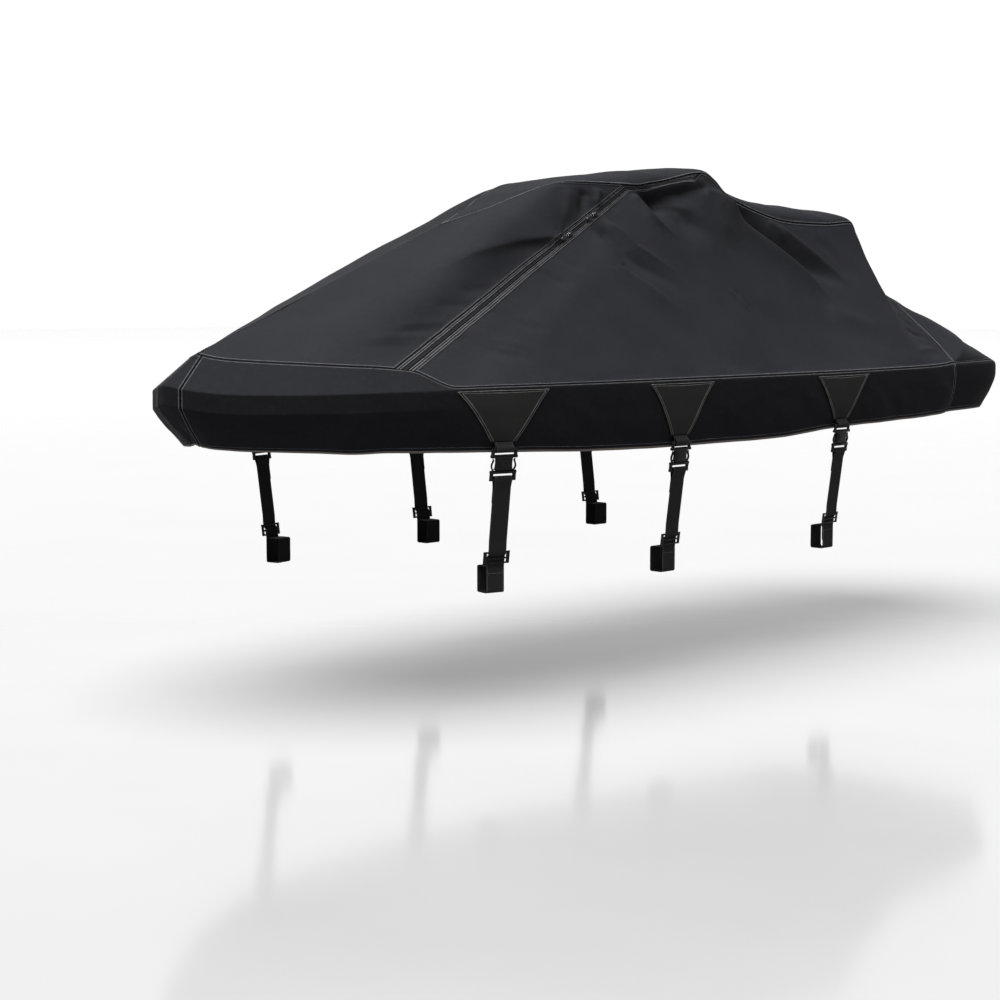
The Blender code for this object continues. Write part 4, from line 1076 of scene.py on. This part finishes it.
strapParts = {
    "lean": math.radians(8), "webbing": .062, "thickness": .0014, "halfLayer": .001, "clear": .0006,
    "cloth": .002, "tabClear": .0008, "tabEdge": .0022, "sewn": .0027,
    "buckleOut": .014, "buckleTop": .018, "buckleWidth": .090, "waist": .060, "slot": .067,
    "socketBar": .009, "socketSlot": .020, "shoulder": .028, "socketEnd": .066,
    "barDepth": .007, "depth": .014, "panelInset": .012,
    "plugBase": .0665, "plugSlot": .077, "plugBar": .089, "plugEnd": .098, "plugDepth": .008,
    "prongTop": .031, "prongGap": .0030, "prongSwell": .0085, "prongTip": .0052, "prongHalf": .0023,
    "glideHeight": -1.192, "glideWidth": .092, "glideDepth": .003,
    "glideEdges": (0, .006, .018, .024, .032, .038),
    "railTop": -1.238, "railFoot": -1.318, "railDepth": .050, "railCorner": .006,
    "buckleTail": .045, "loopTail": .050,
    "weaveStep": .004, "edgeRow": .003,
    "across": (-1, -.97, -.93, -.86, -.6, -.3, 0, .3, .6, .86, .93, .97, 1),
    "edgeDrop": .00035, "edgeRound": .0025,
}


def placeAtX(x):
    fine = np.linspace(0, hoopNumber["corner"], 4000)
    return np.interp(x, hoopsAt(fine)["gunX"], fine)


def buildTab(name, x, side):
    # the trapezoid on the band, bound and stitched along both slants
    levels = np.linspace(tabs["topLevel"], tabs["footLevel"], tabs["levelSteps"])
    drop = (levels[0] - levels) / (levels[0] - levels[-1])
    width = (tabs["topWidth"] + (tabs["footWidth"] - tabs["topWidth"]) * drop)[:, None]
    inner = np.linspace(0, 1, tabs["acrossSteps"])[1:-1]
    gap = np.array(tabs["edgeSteps"])[None] * np.minimum(1, width / tabs["footWidth"])
    low, high = gap[:, -1:], width - gap[:, -1:]
    spots = np.concatenate([gap, low + (high - low) * inner[None], width - gap[:, ::-1]], 1)
    surface, normal = bandSurface(placeAtX(x - width / 2 + spots), levels[:, None], side)
    edge = np.minimum(spots, width - spots)
    wide, rise = tabs["bindingWidth"], tabs["bindingRise"]
    binding = rise * (1 - smoothStep(edge, wide, wide + .002)) - .0008 * (1 - smoothStep(edge, 0, .001))
    sheet = surface + normal * (tabs["standOff"] + strapParts["thickness"] / 2 + binding)[..., None]
    edges, flip = edgeDistances(sheet), side == "port"
    values = {"seamGap": np.minimum(edge, edges[0] + .002), "clothRun": edges[2], "clothRise": edges[0]}
    makeSheet(f"tab.{name}", sheet, values, "tabCloth", f"tab_{name.replace('.', '_')}",
              strapParts["thickness"], flip)
    for row in tabs["sideRows"]:
        stitchEdge("webbing", sheet, 2, row, flip)
    for row in tabs["sideRows"]:
        stitchEdge("webbing", sheet, 3, row, flip)
    for row in tabs["topRows"]:
        stitchEdge("webbing", sheet[:, 8:-8], 0, row, flip)


def arc(centre, radius, start, end, steps=12):
    # points round a bar, as (out, down): degrees from straight out towards down
    angles = [math.radians(start + (end - start) * i / steps) for i in range(steps + 1)]
    return [(centre[0] + radius * math.cos(a), centre[1] + radius * math.sin(a)) for a in angles]


def anchorPath():
    # up from the tab's foot, over the socket's bar and back
    p = strapParts
    radius = p["barDepth"] / 2 + p["clear"] + p["halfLayer"]
    foot = p["cloth"] + p["tabClear"]
    over, above, out = foot + p["sewn"], p["buckleTop"] - .001, p["buckleOut"]
    inside = [(foot, p["tabEdge"]), (foot + .0004, .006), (out - radius, above)]
    outside = [(out + radius, above), (over + .0022, .006), (over + .0006, p["tabEdge"])]
    return inside + arc((out, p["buckleTop"] + p["socketBar"]), radius, 180, 0) + outside


def strapPath(footHeight):
    # down the front from the buckle, through the glide, round the rail and back up
    p = strapParts
    out, bar = p["buckleOut"], p["buckleTop"] + p["plugBar"]
    radius = p["plugDepth"] / 2 + p["clear"] + p["halfLayer"]
    tail, front = out - p["sewn"] / 2, out + p["sewn"] / 2
    cosine, sine = math.cos(p["lean"]), math.sin(p["lean"])
    edges = p["glideEdges"]
    glide = (footHeight - p["glideHeight"]) / cosine
    slot = glide + (edges[1] + edges[2]) / 2
    past = p["glideDepth"] / 2 + p["clear"] + p["halfLayer"]
    path = [(tail, bar + .030 + p["buckleTail"]), (tail, bar + .030), (out - radius, bar + .009),
            *arc((out, bar), radius, 180, 360), (out + radius, bar + .009), (front, bar + .030),
            (front, glide - .030), (out + past, glide - .006), (out + past, slot - .0044),
            (out - past, slot + .0044), (out - past, glide + edges[-1] + .001)]
    path = [(a * cosine - b * sine, a * sine + b * cosine) for a, b in path]
    top, foot = footHeight - p["railTop"], footHeight - p["railFoot"]
    outer, turn = path[-1][0] - .001, p["railCorner"]
    inner, lap = outer - p["railDepth"], outer - p["sewn"]
    path.append((outer, top))
    corners = ((outer - turn, foot - turn), (inner + turn, foot - turn), (inner + turn, top + turn),
               (lap - turn, top + turn))
    for k, centre in enumerate(corners):
        path += arc(centre, turn, 90 * k, 90 * (k + 1), 5)
    return path + [(lap, top + p["loopTail"])]


def buildWebbing(name, node, path, matrix):
    # the outer face of a strip of webbing along a path, and its run
    path = np.array(path)
    far = runAlong(path)
    run = np.unique(np.concatenate([np.arange(0, far[-1], strapParts["weaveStep"]), far]))
    run = run[np.concatenate([[True], np.diff(run) > .0004])]
    run[-1] = far[-1]
    out, down = sampled(run, far, path).T
    half = strapParts["webbing"] / 2
    across = half * np.array(strapParts["across"])
    slope = unit(np.stack([np.gradient(out, run), np.gradient(down, run)], 1))
    edge = half - abs(across)
    drop = strapParts["edgeDrop"] * (1 - smoothStep(edge, 0, strapParts["edgeRound"]))
    lift = strapParts["thickness"] / 2 - drop
    grid = points(across, down[:, None] - slope[:, 0:1] * lift, out[:, None] + slope[:, 1:2] * lift)
    strip = grid @ np.array(matrix.to_3x3()).T + np.array(matrix.translation)
    values = {"seamGap": edge, "clothRun": run[:, None], "clothRise": across}
    makeSheet(name, strip, values, "webbingCloth", node, strapParts["thickness"], True)
    return strip, run


def frameOfStrap(x, side):
    # frames at the tab's foot, upright and leant as the strap hangs, and the foot's height
    hoop = hoopsAt(placeAtX(x))
    knots, level = hoopKnots(hoop), tabs["footLevel"]
    foot, out = knots[0] * (1 - level) + knots[1] * level, hoop["outward"]
    if side == "starboard":
        foot, out = mirrored(foot), mirrored(out)
    down = Vector((0, 0, -1))
    upright = axesMatrix(foot, down.cross(Vector(out)), down)
    return upright, upright @ Matrix.Rotation(-strapParts["lean"], 4, "X"), foot[2]


def sidePosts(half, low, high, depth, edge):
    # the two posts beside a slot
    slot = strapParts["slot"] / 2
    return [block(low, high, (half - slot) / 2, depth, edge, 14, 3, x=s * (half + slot) / 2) for s in (-1, 1)]


def socketBody():
    p = strapParts
    half, waist, depth, bar = p["buckleWidth"] / 2, p["waist"] / 2, p["depth"] / 2, p["barDepth"] / 2
    slot, shoulder, end = p["socketSlot"], p["shoulder"], p["socketEnd"]
    return joined([
        crossBar(p["socketBar"] / 2, half, p["socketBar"] / 2, bar, .0022),
        crossBar((slot + shoulder) / 2 + .001, half, (shoulder - slot) / 2 + .001, depth, .0024),
        block(shoulder - .004, end, waist, depth, .0022, 28, 4.5, waist=.0016),
        crossBar(end - .0028, waist, .0024, depth + .0004, .0012),
        block(shoulder + .006, end - .009, waist - p["panelInset"], .0012, .001, 24, 5, z=depth - .0003),
        *sidePosts(half, .002, slot + .004, bar, .0015),
        crossBar(slot + .0016, p["slot"] / 2, .0012, depth + .0004, .0006)])


def plugBody():
    p = strapParts
    half, waist, depth = p["buckleWidth"] / 2, p["waist"] / 2, p["plugDepth"] / 2
    base, slot, bar, end = p["plugBase"], p["plugSlot"], p["plugBar"], p["plugEnd"]
    prongs = []
    for s in (-1, 1):
        arm = []
        for t in np.linspace(0, 1, 15).tolist():
            swell = p["prongSwell"] * math.sin(math.pi * min(1, t * 1.15)) ** .8
            out = waist + p["prongGap"] + swell + p["prongTip"] * max(0, t - .72) / .28
            arm.append((s * min(out, half - .0024), base + .002 + (p["prongTop"] - base - .001) * t))
        prongs.append(sweep(arm, p["prongHalf"], depth))
    return joined([crossBar((base + slot) / 2, half, (slot - base) / 2, depth + .001, .0018),
                   crossBar((bar + end) / 2, half, (end - bar) / 2, depth, .0018),
                   *sidePosts(half, slot - .003, bar + .003, depth, .0012), *prongs])


def glideBody():
    edges, half, depth = strapParts["glideEdges"], strapParts["glideWidth"] / 2, strapParts["glideDepth"] / 2
    bars = [crossBar((low + high) / 2, half - inset, (high - low) / 2, depth, .0008)
            for low, high, inset in zip(edges[::2], edges[1::2], (0, .001, .001))]
    return joined(bars + sidePosts(half, 0, edges[-1], depth, .0009))


def sewnRows(strip, run):
    # edges of the rail loop, and a row across where its layers are sewn together
    middle, railTop = strip.shape[1] // 2, strapParts["railTop"] + .012
    height = strip[:, middle, 2]
    first = np.nonzero(height < railTop)[0][0]
    last = np.nonzero(run < run[first] + railTop - height.min())[0][-1]
    part = strip[first:last]
    for edge in (2, 3):
        stitchEdge("webbing", part, edge, strapParts["edgeRow"], True)
    k = len(part) // 3
    addRow("webbing", part[k], np.repeat(gridNormals(part)[k, middle][None], part.shape[1], 0), True)


def buildStrap(spot, x, side):
    name, node, p = f"{spot}.{side}", f"{spot}_{side}", strapParts
    buildTab(name, x, side)
    upright, leant, footHeight = frameOfStrap(x, side)
    anchor, _ = buildWebbing(f"anchor.{name}", f"anchor_{node}", anchorPath(), leant)
    for edge in (2, 3):
        stitchEdge("webbing", anchor, edge, p["edgeRow"], True)
    sewnRows(*buildWebbing(f"strap.{name}", f"strap_{node}", strapPath(footHeight), upright))
    glide = (footHeight - p["glideHeight"]) / math.cos(p["lean"])
    fittings = (("socket", socketBody, p["buckleTop"]), ("plug", plugBody, p["buckleTop"]),
                ("triglide", glideBody, glide))
    for kind, body, down in fittings:
        matrix = leant @ Matrix.Translation((0, down, p["buckleOut"]))
        addMesh(f"{kind}.{name}", body(), "bucklePlastic", f"{kind}_{node}", matrix)


for side in ("port", "starboard"):
    for spot, x in tabs["places"].items():
        buildStrap(spot, x, side)
print("tabs, buckles and straps made")
for kind, slotName in (("hood", "hood_cloth"), ("band", "band_cloth"), ("webbing", "webbing")):
    buildStitches(kind)

room = {
    "floorHeight": -1.66, "floorSize": 60, "floorShade": .22, "floorRough": (.10, .12), "floorSpecular": .3,
    "lensLength": 75, "cameraPlace": (-5.722, -4.836, -.444), "lookAcross": 45, "lookDown": 5.62,
    "keyStrength": 12.5, "keySoftness": 66, "keyFrom": (-.26, .03, 1.0),
    "skyBright": 1.02, "skyDim": .10, "skyAway": (.30, .90), "skyHigh": (.2, .6, 1.0, .3),
    "skyline": (.10, .20, .95, 0.0),
}


def addObject(name, data, towards=None):
    obj = bpy.data.objects.new(name, data)
    if towards:
        obj.rotation_euler = Vector(towards).to_track_quat("-Z", "Y").to_euler()
    bpy.context.scene.collection.objects.link(obj)
    return obj


def buildFloor():
    size = room["floorSize"]
    corners = [(x * size, y * size, 0) for x, y in ((-1, -1), (1, -1), (1, 1), (-1, 1))]
    mesh = bpy.data.meshes.new("floor")
    mesh.from_pydata(corners, [], [(0, 1, 2, 3)])
    floor = addObject("floor", mesh)
    floor.location.z = room["floorHeight"]
    material, shader, w = shaderMaterial("paleFloor", {"Specular IOR Level": room["floorSpecular"]})
    soft = w.noise(w.position(), 1.5, 3.0)
    pale = (room["floorShade"],) * 3
    w.put(shader["Base Color"], w.mix(w.range(soft, .3, .7), shade(pale, .98), shade(pale, 1.02)))
    w.put(shader["Roughness"], w.range(soft, .3, .7, *room["floorRough"]))
    mesh.materials.append(material)


def buildSky():
    # a pale wall beyond the cover, dim behind the camera
    world = bpy.data.worlds.new("studio")
    bpy.context.scene.world = world
    world.use_nodes = True
    background = world.node_tree.nodes["Background"].inputs
    w = Wiring(world.node_tree)
    spot = w.add("SeparateXYZ", {0: w.add("TexCoord", {}, "Generated")}, None)
    away = w.math("MULTIPLY", w.math("ADD", spot["X"], spot["Y"]), math.sqrt(.5))
    low = w.math("MULTIPLY", w.range(away, *room["skyAway"]), w.range(spot["Z"], *room["skyHigh"]))
    skyline = w.range(w.math("ABSOLUTE", spot["Z"]), *room["skyline"])
    w.put(background["Color"], (1, 1, 1, 1))
    low = w.math("MAXIMUM", low, skyline)
    w.put(background["Strength"], w.range(low, 0, 1, room["skyDim"], room["skyBright"]))


def buildCamera():
    key = bpy.data.lights.new("overheadKey", "SUN")
    key.energy = room["keyStrength"]
    key.angle = math.radians(room["keySoftness"])
    addObject("overheadKey", key, [-value for value in room["keyFrom"]])
    lens = bpy.data.cameras.new("camera")
    lens.lens = room["lensLength"]
    lens.sensor_width = 36
    across, down = math.radians(room["lookAcross"]), math.radians(room["lookDown"])
    look = (math.sin(across) * math.cos(down), math.cos(across) * math.cos(down), -math.sin(down))
    camera = addObject("camera", lens, look)
    camera.location = room["cameraPlace"]
    bpy.context.scene.camera = camera
    bpy.context.scene.view_settings.view_transform = "Standard"


buildFloor()
buildSky()
buildCamera()
print("room and camera made")
